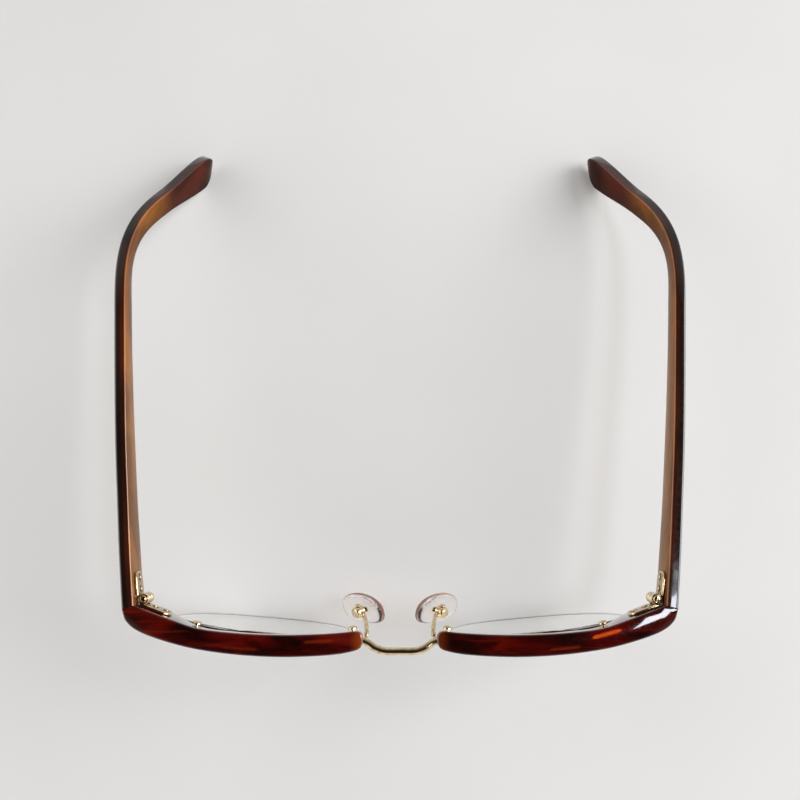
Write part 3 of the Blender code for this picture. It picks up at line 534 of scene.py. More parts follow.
def spline(points, steps, closed=False):
    """Catmull-Rom curve through the points, with the given steps on each span."""
    points = [Vector(p) for p in points]
    count = len(points)
    if closed:
        around = [points[i % count] for i in range(-1, count + 2)]
        spans = count
    else:
        around = [2 * points[0] - points[1]] + points + [2 * points[-1] - points[-2]]
        spans = count - 1
    curve = []
    for span in range(spans):
        a, b, c, d = around[span:span + 4]
        for step in range(steps):
            t = step / steps
            curve.append(0.5 * (2 * b + (c - a) * t + (2 * a - 5 * b + 4 * c - d) * t * t
                                + (3 * b - a - 3 * c + d) * t ** 3))
    if not closed:
        curve.append(points[-1])
    return curve


def straight_at(table, x, ease=lambda t: t):
    """Height at x between the (x, height) rows of a table."""
    if x <= table[0][0]:
        return table[0][1]
    for (x0, h0), (x1, h1) in zip(table, table[1:]):
        if x <= x1:
            return h0 + (h1 - h0) * ease((x - x0) / (x1 - x0))
    return table[-1][1]


def left_of(loop):
    """Directions at right angles to a closed flat loop, to the left of its travel, at each point."""
    directions = []
    for k in range(len(loop)):
        along = (loop[(k + 1) % len(loop)] - loop[k - 1]).normalized()
        directions.append(Vector((-along.y, along.x)))
    return directions


def smooth_step(t):
    """From 0 to 1 as t does, level at both ends."""
    t = min(max(t, 0.0), 1.0)
    return t * t * (3.0 - 2.0 * t)


def smooth_at(table, x):
    """As straight_at, but level at every row, so that the rows meet without a corner."""
    return straight_at(table, x, smooth_step)


def resample(curve, count):
    """The curve as count points at equal distances along it."""
    lengths = [0.0]
    for a, b in zip(curve, curve[1:]):
        lengths.append(lengths[-1] + (b - a).length)
    result = []
    span = 0
    for k in range(count):
        goal = lengths[-1] * k / (count - 1)
        while span < len(curve) - 2 and lengths[span + 1] < goal:
            span += 1
        t = (goal - lengths[span]) / (lengths[span + 1] - lengths[span])
        result.append(curve[span].lerp(curve[span + 1], t))
    return result


def skin(rings):
    """Vertices and faces of an open skin over closed rings of equally many points."""
    count = len(rings[0])
    faces = [(base + k, base + (k + 1) % count, base + count + (k + 1) % count, base + count + k)
             for base in range(0, (len(rings) - 1) * count, count) for k in range(count)]
    return [p for ring in rings for p in ring], faces


def loft(rings):
    """The skin over closed rings, with a flat cap on each end."""
    verts, faces = skin(rings)
    count = len(rings[0])
    return verts, faces + [tuple(range(count)), tuple(range(len(verts) - count, len(verts)))]


def merged(parts):
    """Several (verts, faces) pairs as one."""
    verts, faces = [], []
    for part_verts, part_faces in parts:
        shift = len(verts)
        verts.extend(part_verts)
        faces.extend(tuple(i + shift for i in face) for face in part_faces)
    return verts, faces


def circle(centre, across, other, radius, sides):
    """Points round a centre, in the plane of two directions at right angles."""
    return [centre + (across * cos(2 * pi * k / sides) + other * sin(2 * pi * k / sides)) * radius
            for k in range(sides)]


def turned(start, axis, profile, sides=32):
    """A solid of revolution: profile is (distance along axis from start, radius) rows."""
    axis = Vector(axis).normalized()
    across = axis.orthogonal().normalized()
    other = axis.cross(across)
    return loft([circle(Vector(start) + axis * along, across, other, radius, sides)
                 for along, radius in profile])


def tube(path, radius, sides=14):
    """A round wire along the path, drawn in a little at its ends."""
    rings = []
    across = (path[1] - path[0]).orthogonal().normalized()
    last = len(path) - 1
    for k, point in enumerate(path):
        tangent = (path[min(k + 1, last)] - path[max(k - 1, 0)]).normalized()
        across = (across - tangent * across.dot(tangent)).normalized()
        other = tangent.cross(across)
        size = radius * (0.75 if k in (0, last) else 1.0)
        rings.append(circle(point, across, other, size, sides))
    return loft(rings)


def rounded_rectangle(half_width, half_height, edge):
    """(across, up) points of a rectangle with its four corners rounded to the radius edge."""
    points = []
    steps = 5
    for corner, (sx, sy) in enumerate(((1, 1), (-1, 1), (-1, -1), (1, -1))):
        for step in range(steps + 1):
            angle = (corner + step / steps) * pi / 2
            points.append((sx * (half_width - edge) + edge * cos(angle),
                           sy * (half_height - edge) + edge * sin(angle)))
    return points


# ---- Brow bars ----
def lens_edge():
    """Outline points (x, z) and their outward directions."""
    curve = spline(LENS_OUTLINE, LENS_STEPS, closed=True)
    return curve, left_of(curve)


def edge_part(spans):
    """Outline points and outward directions between two places counted in spans."""
    curve, outward = lens_edge()
    first, last = (round(s * LENS_STEPS) for s in spans)
    return list(zip(curve[first:last + 1], outward[first:last + 1]))


def underside():
    """(x, z) rows of the brow bar's underside: just over the upper rim, then down to the end-piece."""
    rows = [(p.x + o.x * RIM_WEB, p.y + o.y * RIM_WEB + RIM_TO_BROW)
            for p, o in edge_part((0.0, UNDERSIDE_SPANS))]
    return rows + [(60.0, END_PIECE_BOTTOM), (70.0, END_PIECE_BOTTOM)]


def brow_plan():
    """Front and rear edges as two lists of equal length, with the edge radius at each point."""
    smooth, straight, mitred = REAR_POINTS
    rear = resample(spline(BROW_REAR, 12), smooth)
    corner = Vector(END_PIECE_CORNER)
    outer = Vector(BROW_FRONT[-1])
    rear += [rear[-1].lerp(corner, k / straight) for k in range(1, straight + 1)]
    rear += [corner.lerp(outer, (k - 0.35) / mitred) for k in range(1, mitred + 1)]
    front = resample(spline(BROW_FRONT, 12), len(rear))

    def radius(point):
        near = min((point - corner).length, (point - outer).length)
        return MITRE_EDGE_RADIUS + (BROW_EDGE_RADIUS - MITRE_EDGE_RADIUS) * smooth_step(near / MITRE_FADE)

    rear_radii = [radius(p) for p in rear[:-mitred]] + [MITRE_EDGE_RADIUS] * mitred
    return front, rear, [radius(p) for p in front], rear_radii


def brow_ring(outline, inward, radii, bottom, level, up):
    """The outline at one level of its rounded lower or upper edge; level 0 is the flat face."""
    angle = level * pi / 2 / (EDGE_LEVELS - 1)
    draft_start, draft_end = DRAFT_SPAN
    ring = []
    for point, normal, radius in zip(outline, inward, radii):
        moved = point + normal * radius * (1.0 - sin(angle))
        if not up and normal.y < 0.0:
            moved.y -= REAR_DRAFT * (1.0 - smooth_step((point.x - draft_start) / (draft_end - draft_start)))
        rise = radius * (1.0 - cos(angle))
        if up:
            z = smooth_at(BROW_TOP, point.x) - rise - BROW_CROWN
        else:
            z = straight_at(bottom, point.x) + rise
        ring.append(Vector((moved.x, moved.y, z)))
    return ring


def brow_bar(side, material):
    """The bar between its front and rear edges, with rounded edges and a crowned top."""
    front, rear, front_radii, rear_radii = brow_plan()
    count = len(front)
    outline = front + rear[::-1]
    radii = front_radii + rear_radii[::-1]
    total = len(outline)
    inward = left_of(outline)
    order = [(level, False) for level in range(EDGE_LEVELS)]
    order += [(level, True) for level in reversed(range(EDGE_LEVELS))]
    bottom = underside()
    rings = [brow_ring(outline, inward, radii, bottom, level, up) for level, up in order]
    verts, faces = skin(rings)
    faces += [(k, k + 1, total - 2 - k, total - 1 - k) for k in range(count - 1)]
    faces += crowned_top(verts, (len(rings) - 1) * total, count)
    # Painted shade: the front face's rings are marked to be mixed to near-black.
    shaded_front = [0.0] * len(verts)
    for ring in range(EDGE_LEVELS - 1, len(rings) - 3):
        shaded_front[ring * total:ring * total + count] = [FRONT_SHADE] * count
    # Painted light: the nose-end mask carries the light shining through the thin nose end.
    attributes = {"nose_end_glow": [nose_end_glow(v, side) for v in verts], "shaded_front": shaded_front,
                  "streak": [streak(v, side) for v in verts]}
    new_piece("brow_" + side, verts, faces, material, "front", "brow_bar_" + side,
              "brow_acetate", side, attributes)


def nose_end_glow(point, side):
    """How amber the bar is at its nose end: its own amber plus painted light shining through it, stronger
    on the right bar.
    """
    return NOSE_END_GLOW[side] * (1.0 - smooth_step((point.x - BROW_FRONT[0][0]) / NOSE_END_LENGTH))


def streak(point, side):
    """Over zero inside the amber streaks, which run along the top of the bar."""
    best = 0.0
    for start, end, half_width, weight in STREAKS[side]:
        if start[0] < point.x < end[0]:
            t = (point.x - start[0]) / (end[0] - start[0])
            middle = start[1] + (end[1] - start[1]) * t
            taper = min(1.0, STREAK_ENDS[0] * t, STREAK_ENDS[1] * (1.0 - t))
            best = max(best, weight * (taper - abs(point.y - middle) / half_width))
    return best


def crowned_top(verts, start, count):
    """Adds the columns of a slightly crowned top between the front and rear edges of a ring."""
    rows = []
    for k in range(count):
        front, rear = start + k, start + 2 * count - 1 - k
        row = [front]
        if 0 < k < count - 1:
            ends = min(1.0, k / CROWN_FADE, (count - 1 - k) / CROWN_FADE)
            for column in range(1, BROW_COLUMNS):
                t = column / BROW_COLUMNS
                lift = BROW_CROWN * ends * (1.0 - (2 * t - 1) ** 2)
                row.append(len(verts))
                verts.append(verts[front].lerp(verts[rear], t) + UP * lift)
        row.append(rear)
        rows.append(row)
    faces = [tuple(rows[0] + rows[1][::-1]), tuple(rows[-2] + rows[-1][::-1])]
    for low, high in zip(rows[1:-1], rows[2:-1]):
        faces += [(low[c], low[c + 1], high[c + 1], high[c]) for c in range(BROW_COLUMNS)]
    return faces


# ---- Screws ----
def brow_screw_seat(place):
    """Point on the brow bar's rear face at (x, z), and the face's outward direction there."""
    x, z = place
    curve = spline(BROW_REAR, 12)
    for a, b in zip(curve, curve[1:]):
        if a.x <= x <= b.x:
            point = a.lerp(b, (x - a.x) / (b.x - a.x))
            along = (b - a).normalized()
            return Vector((point.x, point.y, z)), Vector((-along.y, along.x, 0.0))
    raise ValueError("the screw is beyond the rear face")


def cut(piece, verts, faces, side):
    """Cuts a closed shape out of the piece for good."""
    cutter = in_scene("cutter", closed_mesh("cutter", verts, faces, side))
    modifier = piece.modifiers.new("cut", "BOOLEAN")
    modifier.object = cutter
    modifier.operation = "DIFFERENCE"
    modifier.solver = "EXACT"
    bpy.context.view_layer.update()
    evaluated = piece.evaluated_get(bpy.context.evaluated_depsgraph_get())
    result = bpy.data.meshes.new_from_object(evaluated)
    piece.modifiers.clear()
    piece.data = result
    shade(result)
    bpy.data.objects.remove(cutter)


def screw_head(node, seat, axis, size, body, material, side):
    """A domed head with a screwdriver slot; the shank runs a little way into its seat."""
    radius, height, turn = size
    seat, axis = Vector(seat), Vector(axis).normalized()
    profile = [(-SHANK_DEPTH, radius * SHANK_PART), (HEAD_GAP, radius * SHANK_PART),
               (HEAD_GAP, radius * 0.94), (HEAD_GAP + 0.06, radius),
               (HEAD_GAP + height * HEAD_WALL, radius)]
    profile += [(HEAD_GAP + height * (HEAD_WALL + (1.0 - HEAD_WALL) * sin(radians(a))),
                 radius * cos(radians(a))) for a in range(10, 90, 8)]
    piece = new_piece("dome_" + node, *turned(seat, axis, profile), material, body, node,
                      "gold_metal", side)
    across = Matrix.Rotation(turn, 3, axis) @ axis.orthogonal().normalized()
    other = axis.cross(across)
    rings = []
    for depth in (height * SLOT_FLOOR, height + 0.6):
        centre = seat + axis * (HEAD_GAP + depth)
        rings.append([centre + across * a * radius * 1.3 + other * b * SLOT_HALF_WIDTH
                      for a, b in ((-1, -1), (1, -1), (1, 1), (-1, 1))])
    cut(piece, *loft(rings), side)


# ---- Lenses, cords and rims ----
def lens_y(x, z):
    """Mid-surface of the lens: a shallow bowl that wraps back towards the temple."""
    x0, z0, y0, spread = LENS_CURVE
    return y0 + ((x - x0) ** 2 + (z - z0) ** 2) / spread


def on_lens(point, outward, out, back):
    """Place a distance outside the outline and a distance behind the mid-surface."""
    x = point.x + outward.x * out
    z = point.y + outward.y * out
    return Vector((x, lens_y(x, z) + back, z))


def lens(side, material):
    """The curved lens with rounded rims and the cord's groove round its edge."""
    curve, outward = lens_edge()
    total = len(curve)
    half, groove = LENS_THICKNESS / 2, GROOVE_WIDTH / 2
    middle = sum(curve, Vector((0.0, 0.0))) / total
    scales = [k / 12 for k in range(1, 12)]
    inside = [[on_lens(middle + (p - middle) * scale, o, 0.0, -half) for p, o in zip(curve, outward)]
              for scale in scales]
    profile = [(-0.16, -half), (-0.08, -half + 0.04), (-0.02, -half + 0.11), (0.0, -half + 0.2),
               (0.0, -groove), (-GROOVE_DEPTH, -groove)]
    profile += [(out, -back) for out, back in reversed(profile)]
    edge = [[on_lens(p, o, out, back) for p, o in zip(curve, outward)] for out, back in profile]
    outside = [[v + Vector((0.0, LENS_THICKNESS, 0.0)) for v in ring] for ring in reversed(inside)]
    rings = inside + edge + outside
    verts, faces = skin(rings)
    for ring, back in ((0, -half), (len(rings) - 1, half)):
        verts.append(Vector((middle.x, lens_y(middle.x, middle.y) + back, middle.y)))
        base, tip = ring * total, len(verts) - 1
        faces += [(base + k, base + (k + 1) % total, tip) for k in range(total)]
    new_piece("clear_lens_" + side, verts, faces, material, "front", "lens_" + side,
              "lens", side)


def lens_cord(side, material):
    """The line in the groove, from one end of the rim bar round to the other."""
    path = [on_lens(p, o, -CORD_INSET, 0.0) for p, o in edge_part(CORD_SPANS)]
    new_piece("nylon_cord_" + side, *tube(path, CORD_RADIUS, 10), material, "front",
              "lens_cord_" + side, "nylon", side)


def rim_bar(side, material):
    """The channel over the lens top, with softened outer edges and its outer end trimmed behind."""
    half, slot, edge = RIM_WIDTH / 2, RIM_SLOT / 2, RIM_EDGE
    section = [(-RIM_LIP, edge - half), (edge - RIM_LIP, -half), (RIM_WEB - edge, -half),
               (RIM_WEB, edge - half)]
    section += [(out, -back) for out, back in reversed(section)]
    section += [(-RIM_LIP, slot), (RIM_GAP, slot), (RIM_GAP, -slot), (-RIM_LIP, -slot)]
    rings = []
    for p, o in edge_part(RIM_SPANS):
        trim = RIM_TRIM * smooth_step((p.x - RIM_TRIM_START) / RIM_TRIM_LENGTH)
        rings.append([on_lens(p, o, out, min(back, half - trim)) for out, back in section])
    new_piece("upper_rim_" + side, *loft(rings), material, "front", "rim_bar_" + side,
              "gold_metal", side, sharp=50.0)


# ---- Bridge and nose pads ----
def bridge(material):
    """The bar between the upper rims, its edges rounded."""
    half = spline(BRIDGE_PATH, 10)
    path = [Vector((-p.x, p.y, p.z)) for p in reversed(half[1:])] + half
    section = rounded_rectangle(BRIDGE_SECTION[0] / 2 - SKIN, BRIDGE_SECTION[1] / 2 - SKIN, BRIDGE_EDGE)
    rings = []
    for k, point in enumerate(path):
        tangent = (path[min(k + 1, len(path) - 1)] - path[max(k - 1, 0)]).normalized()
        across = UP.cross(tangent).normalized()
        up = tangent.cross(across)
        rings.append([point + across * a + up * b for a, b in section])
    new_piece("gold_bridge", *loft(rings), material, "front", "bridge", "gold_metal")


def pad_frame():
    """Directions of the left pad: up its length, back from the nose, and across its width."""
    up = Vector((-sin(PAD_FRONTAL_ANGLE), 0.0, cos(PAD_FRONTAL_ANGLE)))
    level_back = Vector((cos(PAD_FRONTAL_ANGLE), 0.0, sin(PAD_FRONTAL_ANGLE)))
    back = level_back * cos(PAD_SPLAY) - Vector((0.0, sin(PAD_SPLAY), 0.0))
    return up, back, up.cross(back)


def pad_point(along, back, across):
    """Place at distances from the left pad's middle along the directions of its frame."""
    up_dir, back_dir, across_dir = pad_frame()
    return Vector(PAD_CENTRE) + up_dir * along + back_dir * back + across_dir * across


def pad_outline(turn):
    """Unit outline of the pad, oval behind and squarer along its front edge."""
    along, across = cos(turn), sin(turn)
    if across >= 0.0:
        return along, across
    return copysign(abs(along) ** PAD_SQUARENESS, along), -abs(across) ** PAD_SQUARENESS


def nose_pad(side, material):
    """A cushion, domed towards the nose, with a recess in its back for the insert."""
    sides = 64
    profile = spline(PAD_PROFILE, 4)
    outline = [pad_outline(2 * pi * k / sides) for k in range(sides)]
    rings = [[pad_point(PAD_HALF_LENGTH * p.x * along, p.y, PAD_HALF_WIDTH * p.x * across)
              for along, across in outline] for p in profile]
    length, width, depth = PAD_RECESS
    for grown, back in ((0.12, 1.0), (0.0, 0.92), (0.0, 1.0 - depth)):
        rings.append([pad_point(PAD_PIVOT_UP + (length + grown) * cos(2 * pi * k / sides), back,
                                (width + grown) * sin(2 * pi * k / sides)) for k in range(sides)])
    rim = [smooth_step((p.x - PAD_RIM_START) / 0.06) for p in profile for _ in range(sides)]
    rim += [0.0] * (len(rings) * sides - len(rim))
    new_piece("silicone_pad_" + side, *loft(rings), material, "pad_%s_unit" % side,
              "nose_pad_" + side, "pad_silicone", side, {"rim": rim})


def pad_box(side, material):
    """A rounded cup, open towards the pad, that holds the insert's lug."""
    low = PAD_PIVOT_BACK - BOX_LOW
    inside, outside = (PAD_PIVOT_BACK + back for back in BOX_BACK)
    rows = [(BOX_HOLLOW, BOX_HOLLOW_EDGE, inside), (BOX_HOLLOW, BOX_HOLLOW_EDGE, low + 0.08),
            (BOX_MOUTH, BOX_HOLLOW_EDGE, low),
            ((BOX_HALF[0] - 0.1, BOX_HALF[1] - 0.08), BOX_ROUND - 0.1, low),
            (BOX_HALF, BOX_ROUND, low + 0.12), (BOX_HALF, BOX_ROUND, outside - BOX_DOME_RISE)]
    for turn in (30, 50, 70, 85):
        inset = BOX_DOME_INSET * (1.0 - cos(radians(turn)))
        rows.append(((BOX_HALF[0] - inset, BOX_HALF[1] - inset), BOX_ROUND - inset,
                     outside - BOX_DOME_RISE + BOX_DOME_RISE * sin(radians(turn))))
    rings = [[pad_point(PAD_PIVOT_UP + a, back, w) for a, w in rounded_rectangle(*half, edge)]
             for half, edge, back in rows]
    new_piece("gold_box_" + side, *loft(rings), material, "front", "pad_box_" + side,
              "gold_metal", side)


def pad_arm(side, material):
    """Wire from behind the bridge's end down to the upper end of the pad box."""
    box_end = PAD_PIVOT_UP + BOX_HALF[0]
    finish = [pad_point(box_end + ahead, *ARM_ON_BOX) for ahead in (1.2, -0.2)]
    path = spline(ARM_START + finish, 10)
    new_piece("gold_arm_" + side, *tube(path, ARM_RADIUS), material, "front",
              "pad_arm_" + side, "gold_metal", side)


# ---- Hinges ----
def leaf_frame(leaf):
    """Foot of the axis on the leaf's seat, the seat's along and outward directions, and the height."""
    axis = Vector(HINGE_AXIS)
    if leaf == "front":
        corner, start = Vector(END_PIECE_CORNER), Vector(BROW_REAR[-1])
        along = (start - corner).normalized()
        out = Vector((along.y, -along.x))
        point = corner
    else:
        splay = TEMPLE_SPLAY[0]
        along = Vector((sin(splay), cos(splay)))
        out = Vector((-along.y, along.x))
        point = Vector(TEMPLE_START[:2]) + out * TEMPLE_THICKNESS / 2
    height = (axis - point).dot(out)
    return axis - out * height, along, out, height


def leaf_point(leaf, along, out, z):
    foot, along_dir, out_dir, _ = leaf_frame(leaf)
    flat = foot + along_dir * along + out_dir * out
    return Vector((flat.x, flat.y, z))


def knuckle_outline(leaf, reach, inset):
    """Plan of one knuckle, (along, out) from the axis: its barrel and the web that joins the plate."""
    height, near = leaf_frame(leaf)[3], LEAVES[leaf]["near"]
    low, top = LEAF_SEAT_GAP + WEB_INSET, LEAF_SEAT_GAP + LEAF_THICKNESS - WEB_INSET
    radius = BARREL_RADIUS - inset
    drop = height - top
    joined = drop < BARREL_RADIUS
    far = sqrt(max(radius ** 2 - drop ** 2, 0.01)) if joined else LEAF_NECK
    start = -pi + acos(near / radius)
    finish = -2 * pi - acos(far / radius)
    steps = 36
    points = [(reach, low), (-near, low)]
    for k in range(steps + 1):
        angle = start + (finish - start) * k / steps
        points.append((radius * cos(angle), height + radius * sin(angle)))
    if not joined:
        points.append((far, top))
    points.append((reach, top))
    return points


def plate_outline(leaf, inset):
    """(along, z) outline of a leaf's plate, round at its far end."""
    size = LEAVES[leaf]
    half, corner = BARREL_HALF, LEAF_CORNER
    points = [(size["start"] + inset, -half + inset)]
    for sign in (-1, 1):
        for step in range(9):
            angle = (step if sign < 0 else 8 - step) * pi / 16
            points.append((size["length"] - corner + (corner - inset) * sin(angle),
                           sign * (half - corner + (corner - inset) * cos(angle))))
    points.append((size["start"] + inset, half - inset))
    return points


def hinge_leaf(leaf, side, body, material):
    """A plate with a round far end, and the barrel knuckles on its near end."""
    low, top = LEAF_SEAT_GAP, LEAF_SEAT_GAP + LEAF_THICKNESS
    turns = [radians(a) for a in range(0, 91, 15)]
    rows = [(LEAF_ROUND * (1.0 - sin(a)), low + LEAF_ROUND * (1.0 - cos(a))) for a in turns]
    rows += [(inset, low + top - out) for inset, out in reversed(rows)]
    plate = loft([[leaf_point(leaf, a, out, HINGE_MID + z) for a, z in plate_outline(leaf, inset)]
                  for inset, out in rows])
    reach = LEAVES[leaf]["start"] + WEB_LAP
    ends = [*KNUCKLE_EDGE, *((inset, KNUCKLE_HEIGHT - up) for inset, up in reversed(KNUCKLE_EDGE))]
    parts = [plate]
    for level in LEAVES[leaf]["knuckles"]:
        base = HINGE_MID - BARREL_HALF + level * (KNUCKLE_HEIGHT + KNUCKLE_GAP)
        parts.append(loft([[leaf_point(leaf, a, b, base + up)
                            for a, b in knuckle_outline(leaf, reach, inset)] for inset, up in ends]))
    verts, faces = merged(parts)
    flat = len(plate_outline(leaf, 0.0))
    # Marks the plate's flat outer face for the painted shade in the gold look.
    face = [1.0 if len(rows) * flat > k >= (len(rows) - 1) * flat else 0.0 for k in range(len(verts))]
    new_piece("gold_%s_leaf_%s" % (leaf, side), verts, faces, material, body,
              "hinge_%s_leaf_%s" % (leaf, side), "gold_metal", side, {"face": face}, sharp=30.0)


def rivet(node, leaf, along, side, body, material, shadow_ring_material):
    """A domed head in a dark ring on the leaf; the ring is painted shadow round the dome."""
    face = LEAF_SEAT_GAP + LEAF_THICKNESS
    seat = leaf_point(leaf, along, face, HINGE_MID)
    axis = leaf_point(leaf, along, face + 1.0, HINGE_MID) - seat
    ring = [(-0.3, RIVET_RING_RADIUS * 0.9), (0.015, RIVET_RING_RADIUS), (0.025, RIVET_HEAD_RADIUS + 0.02)]
    head = [(0.03, RIVET_HEAD_RADIUS), (RIVET_WALL, RIVET_HEAD_RADIUS)]
    head += [(RIVET_WALL + RIVET_DOME * sin(radians(a)), RIVET_HEAD_RADIUS * cos(radians(a)))
             for a in range(15, 90, 12)]
    piece = new_piece("dome_" + node, *turned(seat, axis, ring + head, RIVET_SIDES), material, body,
                      node, "gold_metal", side)
    # The ring's faces take the painted shadow material.
    piece.data.materials.append(shadow_ring_material)
    for polygon in piece.data.polygons:
        if max(polygon.vertices) < len(ring) * RIVET_SIDES:
            polygon.material_index = 1


def hinge(side, gold, ring):
    """Both leaves with their rivets, and the screw on top of the barrel."""
    arm = "temple_%s_arm" % side
    hinge_leaf("front", side, "front", gold)
    hinge_leaf("temple", side, arm, gold)
    for leaf, body, places in (("front", "front", ("outer", "inner")), ("temple", arm, ("front", "rear"))):
        for place, along in zip(places, LEAVES[leaf]["rivets"]):
            rivet("%s_rivet_%s_%s" % (leaf, place, side), leaf, along, side, body, gold, ring)
    seat = (*HINGE_AXIS, HINGE_MID + BARREL_HALF)
    screw_head("hinge_screw_" + side, seat, UP, HINGE_SCREW, "front", gold, side)


# ---- Temples ----
def temple_frames():
    """(distance, point, outward, up, tangent) along the temple's middle line."""
    total = TEMPLE_STRAIGHT + TEMPLE_BEND + TEMPLE_TIP
    steps = TEMPLE_STATIONS * 2
    step = total / steps
    splay, drop = TEMPLE_SPLAY[0], TEMPLE_DROP
    tangent = Vector((sin(splay) * cos(drop), cos(splay) * cos(drop), -sin(drop)))
    out = tangent.cross(UP).normalized()
    point = Vector(TEMPLE_START)
    frames = []
    for k in range(steps + 1):
        distance = k * step
        if k % 2 == 0:
            frames.append((distance, point.copy(), out.copy(), out.cross(tangent), tangent.copy()))
        turn_in = turn_down = 0.0
        if distance < TEMPLE_STRAIGHT:
            turn_in = (TEMPLE_SPLAY[0] - TEMPLE_SPLAY[1]) / TEMPLE_STRAIGHT
        elif distance < TEMPLE_STRAIGHT + TEMPLE_BEND:
            part = (distance - TEMPLE_STRAIGHT) / TEMPLE_BEND
            share = 6.0 * part * (1.0 - part) / TEMPLE_BEND
            turn_in, turn_down = TEMPLE_BEND_IN * share, TEMPLE_BEND_DOWN * share
        point = point + tangent * step
        up = out.cross(tangent)
        inwards = Matrix.Rotation(turn_in * step, 3, up)
        tangent, out = inwards @ tangent, inwards @ out
        tangent = Matrix.Rotation(-turn_down * step, 3, out) @ tangent
    return frames


def mitre(out, up):
    """How far ahead a point of the temple's front end lies, to lie flat on the end-piece's mitre."""
    corner, outer = END_PIECE_CORNER, BROW_FRONT[-1]
    slope = tan(atan2(corner[1] - outer[1], outer[0] - corner[0]) - TEMPLE_SPLAY[0])
    return -out * slope - up * tan(TEMPLE_DROP)


def temple_ring(here, half_width, half_height, edge, offset=0.0, mitred=False, ahead=0.0, lean=0.0):
    """Rounded section of a temple at one place of its middle line."""
    _, point, out, up, tangent = here
    return [point + out * (a + offset) + up * b
            + tangent * (ahead + b * lean + (mitre(a + offset, b) if mitred else 0.0))
            for a, b in rounded_rectangle(half_width, half_height, edge)]


def temple(side, material):
    """The temple from its mitred front end to its rounded tip, with a bore for the core."""
    frames = temple_frames()
    total = frames[-1][0]
    half = TEMPLE_THICKNESS / 2 - SKIN
    tip = [total - TIP_ROUND * (1.0 - part) for part in TIP_PARTS]
    places = [here for here in frames if here[0] < tip[0] - 0.6] + [(s, *frames[-1][1:]) for s in tip]
    rings = []
    for here in places:
        into = max(0.0, 1.0 - (total - here[0]) / TIP_ROUND)
        left = sqrt(1.0 - into ** 2)
        width = half * (TIP_EDGE_WIDTH + (1.0 - TIP_EDGE_WIDTH) * left)
        height = smooth_at(TEMPLE_HEIGHT, here[0]) / 2 * left
        ahead = here[0] - total if here[0] >= tip[0] else 0.0
        rings.append(temple_ring(here, width, height, TEMPLE_EDGE * left, mitred=here is frames[0],
                                 ahead=ahead, lean=TIP_LEAN * into))
    hole = (*CORE_HOLE, CORE_HOLE_EDGE, CORE_OFFSET)
    cored = [here for here in frames if here[0] < CORE_LENGTH]
    inner = [temple_ring(here, *hole, mitred=here is frames[0]) for here in cored]
    inner.append(temple_ring(cored[-1], *hole, ahead=CORE_END))
    section = rounded_rectangle(half, NOMINAL_HALF_HEIGHT, TEMPLE_EDGE)
    bore = [0.0] * (len(inner) * len(section))
    depth = [0.5 - a / TEMPLE_THICKNESS for a, _ in section]
    low = [smooth_step((-b - LOWER_EDGE[0]) / LOWER_EDGE[1]) for _, b in section]
    attributes = {"depth": bore + depth * len(rings)}
    for name, (start, length) in TEMPLE_FADES.items():
        shares = low if name == "lower_edge" else [1.0] * len(section)
        attributes[name] = bore + [share * smooth_step((here[0] - start) / length)
                                   for here in places for share in shares]
    new_piece("acetate_temple_" + side, *loft(inner[::-1] + rings), material,
              "temple_%s_arm" % side, "temple_" + side, "temple_acetate", side, attributes)


# ---- Camera, floor and lights ----
def camera():
    """The camera over the eyeglasses."""
    data = bpy.data.cameras.new("camera")
    data.lens = CAMERA_LENS
    data.clip_start = CAMERA_CLIP
    made = in_scene("camera", data)
    made.location = CAMERA_PLACE
    made.rotation_euler = (CAMERA_TILT, 0.0, 0.0)
    bpy.context.scene.camera = made


def area_light(name, place, size, power, colour):
    """A bright rectangle that faces the eyeglasses."""
    data = bpy.data.lights.new(name, "AREA")
    data.shape = "RECTANGLE"
    data.size, data.size_y = size
    data.energy = power
    data.color = colour
    made = in_scene(name, data)
    made.location = place
    direction = Vector(LIGHT_TARGET) - Vector(place)
    made.rotation_euler = direction.to_track_quat("-Z", "Y").to_euler()


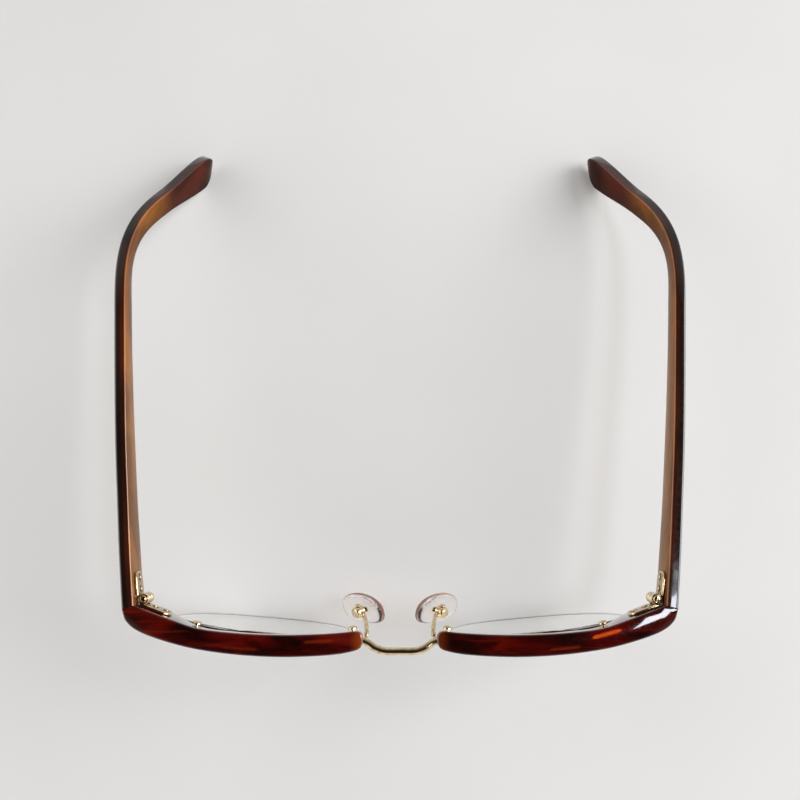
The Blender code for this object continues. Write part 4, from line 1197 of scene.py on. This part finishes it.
def world():
    """A room with bright side walls, dim overhead and towards the near and far walls."""
    made = bpy.data.worlds.new("room")
    bpy.context.scene.world = made
    made.use_nodes = True
    tree = made.node_tree
    coordinates = tree.nodes.new("ShaderNodeTexCoord")
    split = tree.nodes.new("ShaderNodeSeparateXYZ")
    ramp = tree.nodes.new("ShaderNodeValToRGB")
    set_stops(ramp.color_ramp, ROOM_LIGHT)
    tree.links.new(coordinates.outputs["Generated"], split.inputs[0])
    tree.links.new(split.outputs["Z"], ramp.inputs["Fac"])
    dimming = tree.nodes.new("ShaderNodeMath")
    dimming.operation = "MULTIPLY"
    for slot, fading in enumerate(WALL_DIMMING):
        fade = tree.nodes.new("ShaderNodeMapRange")
        set_range(fade, *fading)
        tree.links.new(split.outputs["Y"], fade.inputs["Value"])
        tree.links.new(fade.outputs["Result"], dimming.inputs[slot])
    tree.links.new(ramp.outputs["Color"], tree.nodes["Background"].inputs["Color"])
    tree.links.new(dimming.outputs[0], tree.nodes["Background"].inputs["Strength"])


def floor(material):
    """The sheet the eyeglasses stand on."""
    mesh = bpy.data.meshes.new("floor")
    corners = ((-1, -1), (1, -1), (1, 1), (-1, 1))
    mesh.from_pydata([(x * FLOOR_HALF, y * FLOOR_HALF, 0) for x, y in corners], [], [(0, 1, 2, 3)])
    mesh.materials.append(material)
    in_scene("floor", mesh)


def main():
    """Builds the room and every piece, and gives looks to the two CAD solids that stay visible."""
    bpy.context.scene.view_settings.view_transform = "Standard"
    camera()
    world()
    for window in WINDOWS:
        area_light(*window)
    floor(floor_paper())
    # ring is the painted shadow round the rivets.
    gold, ring = gold_metal(), rivet_shadow_ring()
    brow, side_arm, glass = brow_acetate(), temple_acetate(), lens_glass()
    silicone, line, steel = pad_silicone(), nylon(), core_steel()
    bridge(gold)
    for side in SIDES:
        brow_bar(side, brow)
        for place, spot in (("inner", INNER_SCREW), ("outer", OUTER_SCREW)):
            seat, axis = brow_screw_seat(spot)
            node = "brow_screw_%s_%s" % (place, side)
            screw_head(node, seat, axis, BROW_SCREW, "front", gold, side)
        lens(side, glass)
        lens_cord(side, line)
        rim_bar(side, gold)
        nose_pad(side, silicone)
        pad_box(side, gold)
        pad_arm(side, gold)
        hinge(side, gold, ring)
        temple(side, side_arm)
        seat = pad_point(PAD_PIVOT_UP, PAD_PIVOT_BACK, BOX_HALF[1])
        screw_head("pad_screw_" + side, seat, pad_frame()[2], PAD_SCREW, "front", gold, side)
        for node, material in (("pad_insert_", gold), ("temple_core_", steel)):
            carried = frame["nodes"][node + side].data.materials
            carried.clear()
            carried.append(material)


main()
